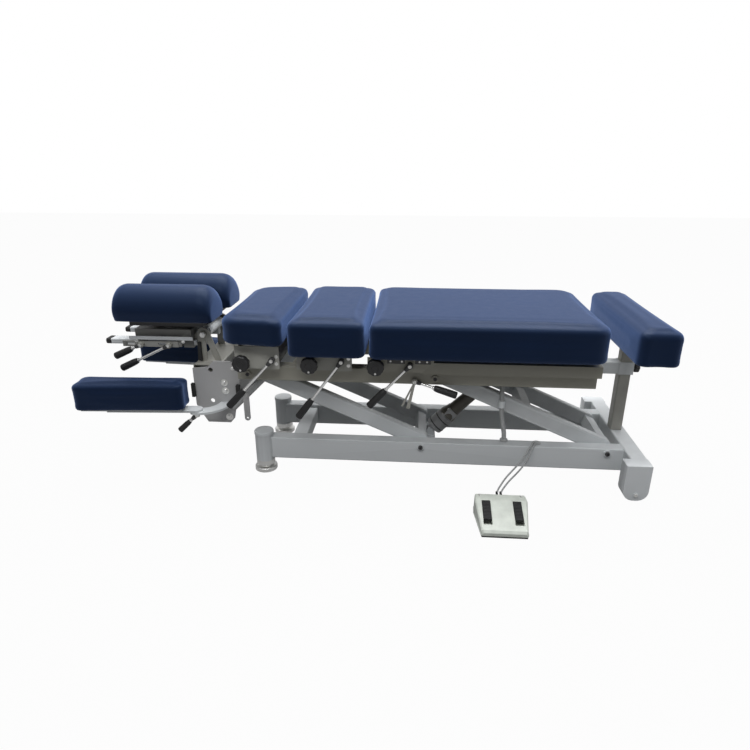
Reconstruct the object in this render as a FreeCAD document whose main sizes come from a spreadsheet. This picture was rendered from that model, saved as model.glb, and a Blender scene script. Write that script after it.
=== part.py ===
import FreeCAD, Part
import math
import os

import Sketcher

# Adjustable treatment table with a powered parallelogram lift, drop sections and a sliding headpiece.
# +X runs from the head end to the foot end, +Z is up, and the origin is on the floor
# midway between the head posts and the wheel axle.

Vector = FreeCAD.Vector
document = FreeCAD.newDocument("treatment_table")
sheet = document.addObject("Spreadsheet::Sheet", "sizes")

SIZES = {
    # welded base
    "base_half": 620.0, "rail_outer": 166.0, "rail_width": 46.0, "rail_height": 80.0, "rail_top": 128.0,
    "tube_wall": 3.0, "tube_corner": 5.0, "post_radius": 32.0, "post_offset": 150.0,
    "post_bottom": 40.0, "post_top": 149.0, "post_crown": 13.0, "cross_tube_inset": 120.0,
    "cross_tube_width": 50.0, "cross_tube_drop": 10.0, "cross_tube_height": 50.0, "beam_reach": 68.0, "beam_width": 54.0,
    "beam_half_length": 281.0, "beam_top": 130.0, "beam_height": 80.0, "hood_width": 80.0,
    "hood_depth": 50.0, "hood_bottom": 5.0, "hood_wall": 4.0, "hood_round": 34.0, "wheel_radius": 27.0,
    "wheel_width": 32.0, "wheel_gap": 1.5, "wheel_groove": 3.0, "wheel_rim": 6.0, "wheel_room": 3.0,
    "axle_radius": 5.0, "axle_head_radius": 7.5, "axle_head_height": 3.0, "foot_radius": 39.0,
    "foot_height": 14.0, "foot_neck_radius": 24.0, "foot_lip": 4.0, "foot_nut_radius": 15.0,
    "foot_neck_height": 10.0, "foot_stem_radius": 8.0, "foot_plug_height": 14.0,
    # lift
    "head_pivot": -72.0, "foot_pivot": 552.0, "pivot_height": 113.0, "arm_length": 635.0,
    "arm_angle": 23.3, "arm_height": 55.0, "arm_width": 28.0, "arm_side_gap": 2.0, "pin_radius": 8.0,
    "pin_head_radius": 12.0, "pin_head_height": 6.0, "running_clearance": 0.05, "free_gap": 0.3,
    "sleeve_size": 30.0, "link_tube_size": 35.0, "middle_tube_along": 292.0, "push_tube_along": 484.0,
    "drain_radius": 4.0, "push_lug_reach": 46.0, "push_lug_thickness": 6.0, "push_lug_radius": 14.0,
    # actuator
    "motor_pivot": -36.0, "motor_pivot_height": 100.0, "eye_radius": 13.0, "eye_width": 24.0,
    "neck_height": 18.0, "motor_radius": 33.0, "motor_start": 16.0, "motor_length": 66.0,
    "motor_edge": 6.0, "outer_tube_radius": 17.0, "outer_tube_end": 236.0, "inner_rod_radius": 11.0,
    "inner_rod_start": 30.0, "cross_bar_width": 36.0, "cross_bar_top": 84.0, "cross_bar_height": 24.0,
    "bar_lug_thickness": 6.0, "gearbox_length": 40.0, "gearbox_width": 56.0, "gearbox_height": 40.0,
    # chassis
    "chassis_head": -690.0, "chassis_foot": 485.0, "chassis_bottom": 342.0, "chassis_height": 52.0,
    "link_height": 34.0, "link_width": 40.0, "guide_start": 300.0, "guide_size": 54.0,
    "guide_middle": 365.0, "plate_middle": 140.0, "plate_thickness": 6.0, "plate_length": 164.0,
    "plate_bottom": 170.0, "plate_hole_radius": 8.0, "brace_radius": 12.0, "brace_angle": 45.0,
    "brace_foot_in": 34.0, "brace_foot_up": 57.0, "end_cap_thickness": 3.0, "strap_place": -672.0,
    "strap_top": 280.0, "strap_reach": 84.0, "strap_width": 20.0, "strap_thickness": 5.0,
    "strap_pin_radius": 4.0,
    # head bracket and tilt
    "tilt_pivot": -820.0, "tilt_height": 478.0, "cheek_inner": 92.0, "cheek_thickness": 6.0,
    "cheek_radius": 22.0, "cheek_leg_width": 26.0, "cheek_foot": 382.0, "strut_angle": 18.0,
    "strut_width": 20.0, "bracket_beam_height": 30.0, "bracket_beam_head": -852.0,
    "bracket_beam_foot": -760.0, "barrel_radius": 17.0, "slide_bar_head": -1167.0,
    "slide_bar_foot": -850.0, "slide_bar_width": 40.0, "slide_bar_height": 19.0,
    "slide_bar_drop": 45.0, "slide_bar_outer": 90.0, "yoke_head": -857.0, "yoke_thickness": 20.0,
    "slot_bar_head": -1098.0, "slot_bar_foot": -903.0, "slot_bar_height": 20.0,
    "slot_bar_thickness": 6.0, "slot_bar_inner": 114.0, "slot_height": 8.0, "slot_end": 14.0,
    "slot_length": 28.0, "slot_second_inset": 70.0, "spacer_length": 14.0,
    # carriage, drop plate and head cushions
    "carriage_head": -1055.0, "carriage_foot": -860.0, "carriage_half_width": 108.0,
    "carriage_height": 34.0, "carriage_rise": 17.0, "carriage_wall": 4.0, "runner_length": 34.0,
    "runner_wall": 5.0, "guide_post_radius": 15.0, "guide_post_head": -1020.0,
    "guide_post_foot": -900.0, "guide_post_reach": 50.0, "guide_wall": 5.0, "plate_head": -1048.0,
    "plate_foot": -800.0, "plate_half_width": 150.0, "plate_height": 16.0, "pad_rise": 57.0,
    "pad_head": -1092.0, "pad_foot": -763.0, "pad_inner": 20.0, "pad_width": 160.0, "pad_height": 115.0,
    "pad_side": 34.0, "pad_foot_round": 42.0, "pad_head_round": 22.0, "pad_side_draw": 10.0,
    # cushions and boards
    "cushion_bottom": 460.0, "cushion_height": 119.0, "pelvic_head": -242.0, "pelvic_foot": 486.0,
    "pelvic_half_width": 270.0, "pelvic_head_corner": 26.0, "pelvic_foot_corner": 46.0,
    "lower_chest_head": -498.0, "lower_chest_foot": -255.0, "lower_chest_half_width": 265.0,
    "chest_corner": 26.0, "upper_chest_head": -720.0, "upper_chest_foot": -516.0,
    "upper_chest_head_half": 230.0, "upper_chest_foot_half": 256.0, "upper_chest_corner": 60.0,
    "upper_chest_rise": 28.0, "ankle_head": 559.0, "ankle_foot": 686.0, "ankle_half_width": 279.0,
    "ankle_corner": 24.0, "ankle_bottom": 461.0, "ankle_height": 113.0, "edge_round": 26.0,
    "crown": 7.0, "side_draw": 3.0, "under_round": 12.0, "crown_inset": 60.0, "board_thickness": 10.0,
    "board_half_width": 186.0, "board_end_inset": 14.0,
    # drop sections
    "carrier_outer": 205.0, "carrier_plate": 5.0, "carrier_bottom": 398.0, "carrier_top": 446.0,
    "upper_carrier_head": -682.0, "upper_carrier_foot": -536.0, "lower_carrier_head": -480.0,
    "lower_carrier_foot": -300.0, "carrier_beam_width": 40.0, "carrier_beam_height": 26.0,
    "carrier_beam_inset": 14.0, "hinge_rod_radius": 5.0, "hinge_height": 441.0, "hinge_inset": 14.0,
    "knuckle_radius": 8.5, "knuckle_length": 22.0, "knuckle_place": 130.0, "hinge_lug_thickness": 6.0,
    "subframe_head": -78.0, "subframe_foot": 486.0, "subframe_height": 38.0, "subframe_width": 40.0,
    "pelvic_cheek_head": -250.0,
    # tension knobs
    "knob_radius": 28.0, "knob_height": 24.0, "knob_edge": 6.0, "knob_hub_radius": 12.0,
    "knob_stand_off": 20.0, "knob_stud_radius": 4.5, "knob_stud_reach": 12.0, "knob_level": 425.0,
    "upper_knob": -653.0, "lower_knob": -433.0, "pelvic_knob": -222.0,
    # hand levers: place, height, bare rod length and slope below the head end for each
    "lever_rod_radius": 4.5, "grip_radius": 11.0, "grip_length": 78.0, "lever_hub_radius": 10.0,
    "lever_hub_height": 16.0, "lever_shaft_radius": 5.0, "lever_collar_radius": 8.0,
    "lever_collar_height": 5.0, "lever_splay_angle": 7.0, "upper_lever": -559.0,
    "upper_lever_height": 430.0, "upper_lever_length": 141.0, "upper_lever_angle": 46.7,
    "lower_lever": -333.0, "lower_lever_height": 432.0, "lower_lever_length": 163.0,
    "lower_lever_angle": 52.7, "pelvic_lever": -114.0, "pelvic_lever_height": 424.0,
    "pelvic_lever_length": 115.0, "pelvic_lever_angle": 46.0, "release_lever": -98.0,
    "release_lever_height": 356.0, "release_lever_length": 71.0, "release_lever_angle": 164.4,
    "crank_length": 108.0, "crank_radius": 4.0, "crank_first_angle": 9.0, "crank_second_angle": -4.0,
    "carriage_lever": -1030.0, "carriage_lever_length": 40.0, "carriage_lever_angle": 24.0,
    "drop_lever": -932.0, "drop_lever_length": 126.0, "drop_lever_angle": 25.5,
    "head_grip_length": 64.0,
    # arm rests
    "arm_pivot": -824.0, "arm_pivot_side": 222.0, "arm_bar_top": 249.0, "arm_bar_thickness": 8.0,
    "arm_bar_width": 42.0, "arm_strip_reach": 292.0, "arm_strip_thickness": 7.0, "arm_turn_angle": 3.5,
    "arm_pad_near": 28.0, "arm_pad_length": 360.0, "arm_pad_head_half": 49.0, "arm_pad_foot_half": 42.0,
    "arm_pad_height": 92.0, "arm_pad_corner": 20.0, "arm_edge_round": 16.0, "arm_crown": 4.0,
    "arm_stud_radius": 6.0, "clamp_hub_radius": 10.0, "clamp_hub_height": 14.0, "clamp_length": 34.0,
    "clamp_grip_length": 48.0, "clamp_grip_radius": 9.0, "clamp_angle": 42.0, "clamp_splay_angle": 19.0,
    # ankle rest
    "ankle_bar_size": 44.0, "ankle_bar_start": 312.0, "ankle_post_middle": 624.0,
    "ankle_post_size": 40.0, "ankle_post_bottom": 131.5, "collar_wall": 4.0, "ankle_board_half": 190.0,
    "ankle_board_inset": 18.0, "ankle_knob_radius": 20.0, "ankle_knob_height": 18.0,
    "ankle_knob_hub": 9.0, "ankle_knob_stand_off": 6.0, "ankle_knob_edge": 4.0,
    # foot pedal
    "pedal_place": 178.0, "pedal_side": 428.0, "pedal_width": 152.0, "pedal_depth": 150.0,
    "pedal_back_height": 56.0, "pedal_top_depth": 34.0, "pedal_front_height": 20.0, "pedal_wall": 3.0,
    "rocker_offset": 47.0, "rocker_width": 24.0, "rocker_length": 72.0, "rocker_height": 12.0,
    "rocker_proud": 4.0, "rocker_from_fold": 5.0, "rocker_gap": 0.8, "rocker_pin_radius": 2.0, "rocker_pin_depth": 5.5,
    "rocker_ear_thickness": 4.0, "rocker_ear_length": 12.0, "rocker_ear_depth": 10.0, "pedal_sole_height": 5.0,
    "gland_radius": 5.0, "gland_length": 8.0, "gland_spread": 6.0, "gland_height": 44.0,
    "cable_radius": 2.75, "grommet_place": 323.0, "grommet_side": 141.0, "grommet_radius": 12.0,
    "grommet_height": 4.0,
    # cable conduit
    "conduit_radius": 8.0, "conduit_side": 131.0, "conduit_clip_place": 196.0,
    "conduit_clip_height": 24.0, "conduit_clip_wall": 3.0, "conduit_foot": 213.0, "conduit_top": 193.0,
    "conduit_gland_radius": 12.0, "conduit_gland_height": 8.0,
    "overrun": 4.0,
}


class Size:
    """A length that keeps its number and the sheet expression that gives it."""

    def __init__(self, number, text):
        self.number = number
        self.text = text

    def __float__(self):
        return float(self.number)

    def __add__(self, other):
        return Size(float(self) + float(other), f"({self.text} + {text_of(other)})")

    def __radd__(self, other):
        return Size(float(other) + float(self), f"({text_of(other)} + {self.text})")

    def __sub__(self, other):
        return Size(float(self) - float(other), f"({self.text} - {text_of(other)})")

    def __rsub__(self, other):
        return Size(float(other) - float(self), f"({text_of(other)} - {self.text})")

    def __mul__(self, other):
        return Size(float(self) * float(other), f"({self.text} * {text_of(other)})")

    __rmul__ = __mul__

    def __truediv__(self, other):
        return Size(float(self) / float(other), f"({self.text} / {text_of(other)})")

    def __neg__(self):
        return Size(-float(self), f"(-{self.text})")


def text_of(value):
    return value.text if isinstance(value, Size) else repr(float(value))


class Sheet:
    """Named sizes, one cell each."""

    def __init__(self, sizes):
        for row, (name, number) in enumerate(sizes.items(), start=1):
            sheet.set(f"A{row}", name)
            sheet.set(f"B{row}", str(number))
            sheet.setAlias(f"B{row}", name)
        document.recompute()
        for name in sizes:
            setattr(self, name, Size(sheet.get(name), f"sizes.{name}"))


d = Sheet(SIZES)

# The headpiece hangs from its tilt pin, so its levels follow the pin.
slide_bar_bottom = d.tilt_height - d.slide_bar_drop
carriage_top = d.tilt_height + d.carriage_rise
pad_bottom = d.tilt_height + d.pad_rise

AXES = {
    "x": FreeCAD.Rotation(Vector(0, 1, 0), 90),
    "y": FreeCAD.Rotation(Vector(1, 0, 0), -90),
    "z": FreeCAD.Rotation(),
}
ALONG_X = Vector(1, 0, 0)
ALONG_Y = Vector(0, 1, 0)
ALONG_Z = Vector(0, 0, 1)
NEAR, FAR = -1, 1
SIDES = (NEAR, FAR)
nodes = []


def point(*values):
    return Vector(*[float(value) for value in values])


def bind(item, name, size):
    item.setExpression(name, text_of(size))


def seat(item, at):
    for axis, value in zip("xyz", at):
        bind(item, f"Placement.Base.{axis}", value)


def block(name, size, at):
    item = document.addObject("Part::Box", name)
    for side, value in zip(("Length", "Width", "Height"), size):
        bind(item, side, value)
    seat(item, at)
    return item


def rod(name, radius, length, at, along="z"):
    item = document.addObject("Part::Cylinder", name)
    bind(item, "Radius", radius)
    bind(item, "Height", length)
    item.Placement = FreeCAD.Placement(Vector(), AXES[along])
    seat(item, at)
    return item


def cone(name, low, high, length, at):
    item = document.addObject("Part::Cone", name)
    bind(item, "Radius1", low)
    bind(item, "Radius2", high)
    bind(item, "Height", length)
    seat(item, at)
    return item


def joined(name, *parts):
    item = document.addObject("Part::MultiFuse", name)
    item.Shapes = list(parts)
    item.Refine = True
    return item


def cut(name, base, *tools):
    item = document.addObject("Part::Cut", name)
    item.Base = base
    item.Tool = tools[0] if len(tools) == 1 else joined(f"{name}_tools", *tools)
    return item


def group(name, *parts):
    item = document.addObject("Part::Compound", name)
    item.Links = list(parts)
    return item


def rounded(name, base, radius, pick):
    document.recompute()
    item = document.addObject("Part::Fillet", name)
    item.Base = base
    item.Edges = [(number, float(radius), float(radius))
                  for number, edge in enumerate(base.Shape.Edges, start=1) if pick(edge)]
    return item


def runs_along(axis):
    def pick(edge):
        if len(edge.Vertexes) < 2:
            return False
        step = edge.Vertexes[1].Point - edge.Vertexes[0].Point
        return abs(getattr(step, axis)) > step.Length * math.cos(math.radians(1))
    return pick


def lies_at(height):
    """Picks the edges that lie wholly at one height."""
    slack = float(d.free_gap) / 2

    def pick(edge):
        box = edge.BoundBox
        return abs(box.ZMin - float(height)) < slack and abs(box.ZMax - float(height)) < slack
    return pick


def is_rim(edge):
    """Picks the round rims of a cylinder."""
    return edge.Closed and len(edge.Vertexes) == 1


def shaped(name, shape):
    item = document.addObject("Part::Feature", name)
    item.Shape = shape
    return item


def turned(item, place, axis, angle):
    """Turns a piece that was drawn about the origin and sets it down at its place."""
    document.recompute()
    for letter in "xyz":
        item.setExpression(f"Placement.Base.{letter}", None)
    move = FreeCAD.Placement(point(*place), FreeCAD.Rotation(axis, float(angle)), Vector())
    item.Placement = move * item.Placement
    return item


def node(name, item):
    item.Label = name
    nodes.append(item)
    return item


def tube(name, size, at, along, closed=None):
    """Square tube with rounded long edges, open at its ends unless one is closed."""
    outer = rounded(f"{name}_skin", block(f"{name}_block", size, at), d.tube_corner, runs_along(along))
    inner_size, inner_at = [], []
    for axis, length, start in zip("xyz", size, at):
        if axis == along:
            near = d.end_cap_thickness if closed == "start" else -d.overrun
            far = d.end_cap_thickness if closed == "end" else -d.overrun
            inner_size.append(length - near - far)
            inner_at.append(start + near)
        else:
            inner_size.append(length - 2 * d.tube_wall)
            inner_at.append(start + d.tube_wall)
    return cut(f"{name}_tube", outer, block(f"{name}_bore", inner_size, inner_at))


def across(side, inner, width):
    """Lowest Y of a piece that stands from inner to inner + width on the near or far side."""
    return inner if side > 0 else -(inner + width)


def side_name(side):
    return "far" if side > 0 else "near"


def origin_plane(body, role):
    for feature in body.Origin.OriginFeatures:
        if feature.Role == role:
            return feature
    raise RuntimeError(f"no {role} in {body.Name}")


def outlined_body(name, plane, corners, holes=()):
    """Body with a sketch of straight sides and round holes, all read from the sheet."""
    body = document.addObject("PartDesign::Body", name)
    sketch = body.newObject("Sketcher::SketchObject", f"{name}_outline")
    sketch.AttachmentSupport = (origin_plane(body, plane), [""])
    sketch.MapMode = "FlatFace"
    count = len(corners)
    for number in range(count):
        start, end = corners[number], corners[(number + 1) % count]
        sketch.addGeometry(Part.LineSegment(point(*start, 0), point(*end, 0)), False)

    def hold(geometry, vertex, place):
        for kind, value in zip(("DistanceX", "DistanceY"), place):
            index = sketch.addConstraint(Sketcher.Constraint(kind, -1, 1, geometry, vertex, float(value)))
            sketch.setExpression(f"Constraints[{index}]", text_of(value))
    for number, corner in enumerate(corners):
        sketch.addConstraint(Sketcher.Constraint("Coincident", number, 2, (number + 1) % count, 1))
        hold(number, 1, corner)
    for centre_across, centre_up, radius in holes:
        circle = Part.Circle(point(centre_across, centre_up, 0), ALONG_Z, float(radius))
        place = sketch.addGeometry(circle, False)
        hold(place, 3, (centre_across, centre_up))
        index = sketch.addConstraint(Sketcher.Constraint("Radius", place, float(radius)))
        sketch.setExpression(f"Constraints[{index}]", text_of(radius))
    return body, sketch


def padded_profile(name, plane, corners, length, holes=()):
    body, sketch = outlined_body(name, plane, corners, holes)
    pad = body.newObject("PartDesign::Pad", f"{name}_pad")
    pad.Profile = sketch
    bind(pad, "Length", length)
    pad.Midplane = True
    body.Tip = pad
    return body


def turned_profile(name, corners):
    """Body turned about its own Y axis: each corner is a radius and a place along the axis."""
    body, sketch = outlined_body(name, "XY_Plane", corners)
    turn = body.newObject("PartDesign::Revolution", f"{name}_turn")
    turn.Profile = sketch
    turn.ReferenceAxis = (sketch, ["V_Axis"])
    turn.Angle = 360
    body.Tip = turn
    return body


# Welded base: two long rails with head posts, a head cross tube and a foot beam with wheel hoods.

wheel_place = d.foot_pivot + d.beam_reach
beam_foot_face = wheel_place + d.hood_width / 2
beam_head_face = beam_foot_face - d.beam_width
rail_inner = d.rail_outer - d.rail_width


def bolt_hole(name, at_x, at_z, side):
    return rod(name, d.pin_radius + d.running_clearance, d.rail_width + 2 * d.overrun,
               (at_x, across(side, rail_inner - d.overrun, d.rail_width + 2 * d.overrun), at_z), "y")


def base_rail(side):
    name = f"{side_name(side)}_base_rail"
    start = d.post_radius / 2 - d.base_half
    rail = tube(name, (beam_head_face - start, d.rail_width, d.rail_height),
                (start, across(side, rail_inner, d.rail_width), d.rail_top - d.rail_height), "x")
    post = rod(f"{name}_post_bar", d.post_radius, d.post_top - d.post_bottom,
               (-d.base_half, side * d.post_offset, d.post_bottom))
    crowned = rounded(f"{name}_post_crown", post, d.post_crown, lies_at(d.post_top))
    bore = rod(f"{name}_post_bore", d.post_radius - d.tube_wall, d.post_top - d.post_bottom - d.post_crown,
               (-d.base_half, side * d.post_offset, d.post_bottom - d.tube_wall))
    holes = [bolt_hole(f"{name}_hole_{number}", pivot, d.pivot_height, side)
             for number, pivot in enumerate((d.head_pivot, d.foot_pivot), start=1)]
    return node(name, cut(name, joined(f"{name}_weldment", rail, crowned), bore, *holes))


def head_cross_tube():
    size = (d.cross_tube_width, 2 * rail_inner, d.cross_tube_height)
    corner = (d.cross_tube_inset - d.base_half - d.cross_tube_width / 2, -rail_inner,
              d.rail_top - d.cross_tube_drop - d.cross_tube_height)
    return tube("head_cross", size, corner, "y")


def wheel_middle(side):
    return side * (d.beam_half_length - d.hood_wall - d.wheel_gap - d.wheel_width / 2)


def foot_beam():
    """Cross beam between the hoods; its bore opens into both wheel wells."""
    hood_start = wheel_place - d.hood_width / 2
    beam = block("foot_beam_block", (d.beam_width, 2 * d.beam_half_length, d.beam_height),
                 (beam_head_face, -d.beam_half_length, d.beam_top - d.beam_height))
    solids = [rounded("foot_beam_skin", beam, d.tube_corner, runs_along("y"))]
    wall = d.hood_wall
    bore_half = d.beam_half_length - wall - d.wheel_gap
    hollows = [block("foot_beam_bore", (d.beam_width - 2 * wall, 2 * bore_half, d.beam_height - 2 * wall),
                     (beam_head_face + wall, -bore_half, d.beam_top - d.beam_height + wall))]
    well_width = 2 * (d.wheel_radius + d.wheel_room)
    well_depth = d.wheel_width + 2 * d.wheel_gap
    well_height = 2 * d.wheel_radius + d.wheel_room + d.overrun
    for side in SIDES:
        name = f"{side_name(side)}_hood"
        start = across(side, d.beam_half_length - d.hood_depth, d.hood_depth)
        shell = block(f"{name}_block", (d.hood_width, d.hood_depth, d.beam_top - d.hood_bottom),
                      (hood_start, start, d.hood_bottom))
        solids.append(rounded(f"{name}_round", shell, d.hood_round, lambda edge: (
            runs_along("y")(edge) and lies_at(d.hood_bottom)(edge))))
        hollows.append(block(f"{name}_well", (well_width, well_depth, well_height),
                             (wheel_place - well_width / 2, wheel_middle(side) - well_depth / 2, -d.overrun)))
        hollows.append(rod(f"{name}_axle_hole", d.axle_radius + d.running_clearance, d.hood_depth + 2 * d.overrun,
                           (wheel_place, start - d.overrun, d.wheel_radius), "y"))
    return node("foot_beam", cut("foot_beam_body", joined("foot_beam_weldment", *solids), *hollows))


def wheel(side):
    """Solid tyre with bevelled shoulders on a bored hub."""
    name = f"{side_name(side)}_wheel"
    half = d.wheel_width / 2
    bore = d.axle_radius + d.running_clearance
    shoulder = d.wheel_radius - d.wheel_groove
    body = turned_profile(name, (
        (bore, -half), (shoulder, -half), (d.wheel_radius, d.wheel_rim - half),
        (d.wheel_radius, half - d.wheel_rim), (shoulder, half), (bore, half)))
    seat(body, (wheel_place, wheel_middle(side), d.wheel_radius))
    return node(name, body)


def levelling_feet():
    feet = []
    neck_top = d.foot_height + d.foot_neck_height
    for side in SIDES:
        name = f"{side_name(side)}_foot"
        x, y = -d.base_half, side * d.post_offset
        disc = rod(f"{name}_disc", d.foot_radius, d.foot_height, (x, y, 0))
        disc = rounded(f"{name}_disc_round", disc, d.foot_lip, lies_at(d.foot_height))
        neck = cone(f"{name}_neck", d.foot_neck_radius, d.foot_nut_radius, d.foot_neck_height,
                    (x, y, d.foot_height))
        stem = rod(f"{name}_stem", d.foot_stem_radius, d.post_bottom - d.foot_height, (x, y, d.foot_height))
        collar = rod(f"{name}_collar", d.post_radius, d.post_bottom - neck_top, (x, y, neck_top))
        plug = rod(f"{name}_plug", d.post_radius - d.tube_wall - d.free_gap, d.foot_plug_height,
                   (x, y, d.post_bottom))
        feet.append(joined(name, disc, neck, stem, collar, plug))
    return node("levelling_feet", group("levelling_feet_pair", *feet))


def pivot_bolts(name, pivots, height):
    """Shouldered bolts, one through each rail into each arm, with their heads outside."""
    bolts = []
    reach = d.rail_width + d.arm_side_gap + d.arm_width
    for side in SIDES:
        for number, pivot in enumerate(pivots, start=1):
            label = f"{name}_{side_name(side)}_{number}"
            shank = rod(f"{label}_shank", d.pin_radius, reach,
                        (pivot, across(side, d.rail_outer - reach, reach), height), "y")
            head = rod(f"{label}_head", d.pin_head_radius, d.pin_head_height,
                       (pivot, across(side, d.rail_outer, d.pin_head_height), height), "y")
            bolts.append(joined(label, shank, head))
    return bolts


def base_bolts():
    bolts = pivot_bolts("base_bolt", (d.head_pivot, d.foot_pivot), d.pivot_height)
    for side in SIDES:
        name = f"{side_name(side)}_axle"
        start = across(side, d.beam_half_length - d.hood_depth, d.hood_depth)
        shank = rod(f"{name}_shank", d.axle_radius, d.hood_depth, (wheel_place, start, d.wheel_radius), "y")
        head = rod(f"{name}_head", d.axle_head_radius, d.axle_head_height,
                   (wheel_place, across(side, d.beam_half_length, d.axle_head_height), d.wheel_radius), "y")
        bolts.append(joined(name, shank, head))
    return node("base_bolts", group("base_bolts_set", *bolts))


def actuator_bracket():
    """Cross bar with two lugs and the pin that carries the actuator's rear eye."""
    bar_size = (d.cross_bar_width, 2 * rail_inner, d.cross_bar_height)
    bar_at = (d.motor_pivot - d.cross_bar_width / 2, -rail_inner, d.cross_bar_top - d.cross_bar_height)
    parts = [tube("bracket_bar", bar_size, bar_at, "y")]
    rise = d.motor_pivot_height - d.cross_bar_top
    for side in SIDES:
        name = f"{side_name(side)}_motor_lug"
        start = across(side, d.eye_width / 2 + d.free_gap, d.bar_lug_thickness)
        parts.append(block(f"{name}_plate", (2 * d.eye_radius, d.bar_lug_thickness, rise),
                           (d.motor_pivot - d.eye_radius, start, d.cross_bar_top)))
        parts.append(rod(f"{name}_end", d.eye_radius, d.bar_lug_thickness,
                         (d.motor_pivot, start, d.motor_pivot_height), "y"))
    pin_length = d.eye_width + 2 * (d.free_gap + d.bar_lug_thickness)
    parts.append(rod("motor_pin", d.pin_radius, pin_length,
                     (d.motor_pivot, -pin_length / 2, d.motor_pivot_height), "y"))
    return joined("actuator_bracket", *parts)


def base_cross_members():
    return node("base_cross_members", group("base_cross_members_set", head_cross_tube(), actuator_bracket()))


# Lift arms. Each pair is drawn along X from its lower pivot and then leaned to the rest angle.

arm_inner = rail_inner - d.arm_side_gap - d.arm_width


def arm_pair(name, pivot, links, *extras):
    half = d.arm_height / 2
    solids, hollows = list(extras), []
    for side in SIDES:
        label = f"{name}_{side_name(side)}"
        start = across(side, arm_inner, d.arm_width)
        bar = block(f"{label}_block", (d.arm_length, d.arm_width, d.arm_height), (0, start, -half))
        solids.append(rounded(f"{label}_skin", bar, d.tube_corner, runs_along("x")))
        bore_size = (d.arm_length - 2 * half, d.arm_width - 2 * d.tube_wall, d.arm_height - 2 * d.tube_wall)
        hollows.append(block(f"{label}_bore", bore_size, (half, start + d.tube_wall, d.tube_wall - half)))
        hollows.append(rod(f"{label}_drain", d.drain_radius, half + d.overrun,
                           (d.arm_length / 2, start + d.arm_width / 2, 0)))
        for number, along in enumerate((0, d.arm_length), start=1):
            solids.append(rod(f"{label}_end_{number}", half, d.arm_width, (along, start, 0), "y"))
            hollows.append(rod(f"{label}_pin_hole_{number}", d.pin_radius + d.running_clearance,
                               d.arm_width + 2 * d.overrun, (along, start - d.overrun, 0), "y"))
    bore_half = arm_inner + d.overrun
    for number, (along, size) in enumerate(links, start=1):
        solids.append(block(f"{name}_link_{number}", (size, 2 * arm_inner, size),
                            (along - size / 2, -arm_inner, -size / 2)))
        inside = size - 2 * d.tube_wall
        hollows.append(block(f"{name}_link_bore_{number}", (inside, 2 * bore_half, inside),
                             (along - inside / 2, -bore_half, -inside / 2)))
    frame = cut(f"{name}_frame", joined(f"{name}_weldment", *solids), *hollows)
    return node(name, turned(frame, (pivot, 0, d.pivot_height), ALONG_Y, float(d.arm_angle) - 180))


push_pin_along = d.push_tube_along - d.push_lug_reach


def push_lugs():
    """Two lugs from the upper cross tube back to the actuator's free end, with a pin head on each."""
    parts = []
    for side in SIDES:
        label = f"{side_name(side)}_push_lug"
        start = across(side, d.eye_width / 2 + d.free_gap, d.push_lug_thickness)
        parts.append(block(f"{label}_plate", (d.push_lug_reach, d.push_lug_thickness, 2 * d.push_lug_radius),
                           (push_pin_along, start, -d.push_lug_radius)))
        parts.append(rod(f"{label}_end", d.push_lug_radius, d.push_lug_thickness, (push_pin_along, start, 0), "y"))
        head_start = across(side, d.eye_width / 2 + d.free_gap + d.push_lug_thickness, d.pin_head_height)
        parts.append(rod(f"{label}_pin_head", d.pin_head_radius, d.pin_head_height,
                         (push_pin_along, head_start, 0), "y"))
    return parts


rest_cosine = math.cos(math.radians(float(d.arm_angle)))
rest_sine = math.sin(math.radians(float(d.arm_angle)))


def conduit_clip():
    """Upright sleeve on the near foot arm that holds the cable conduit."""
    along = (d.foot_pivot - d.conduit_clip_place) / rest_cosine
    ring = rod("conduit_clip_sleeve", d.conduit_radius + d.conduit_clip_wall, d.conduit_clip_height,
               (0, 0, -d.conduit_clip_height / 2))
    turned(ring, (along, -d.conduit_side, 0), ALONG_Y, 180 - float(d.arm_angle))
    reach = d.conduit_side - arm_inner - d.arm_width
    stand = block("conduit_clip_stand", (d.conduit_clip_height / 2, reach, 2 * d.conduit_clip_wall),
                  (along - d.conduit_clip_height / 4, -d.conduit_side, -d.conduit_clip_wall))
    return [ring, stand]


# Linear actuator, drawn along X from its rear pin and then turned towards the pushing lugs.

push_run = d.foot_pivot - push_pin_along * rest_cosine - d.motor_pivot
push_rise = d.pivot_height + push_pin_along * rest_sine - d.motor_pivot_height
actuator_length = math.hypot(float(push_run), float(push_rise))
actuator_slope = math.degrees(math.atan2(float(push_rise), float(push_run)))


def aim_actuator(item):
    return turned(item, (d.motor_pivot, 0, d.motor_pivot_height), ALONG_Y, -actuator_slope)


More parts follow.
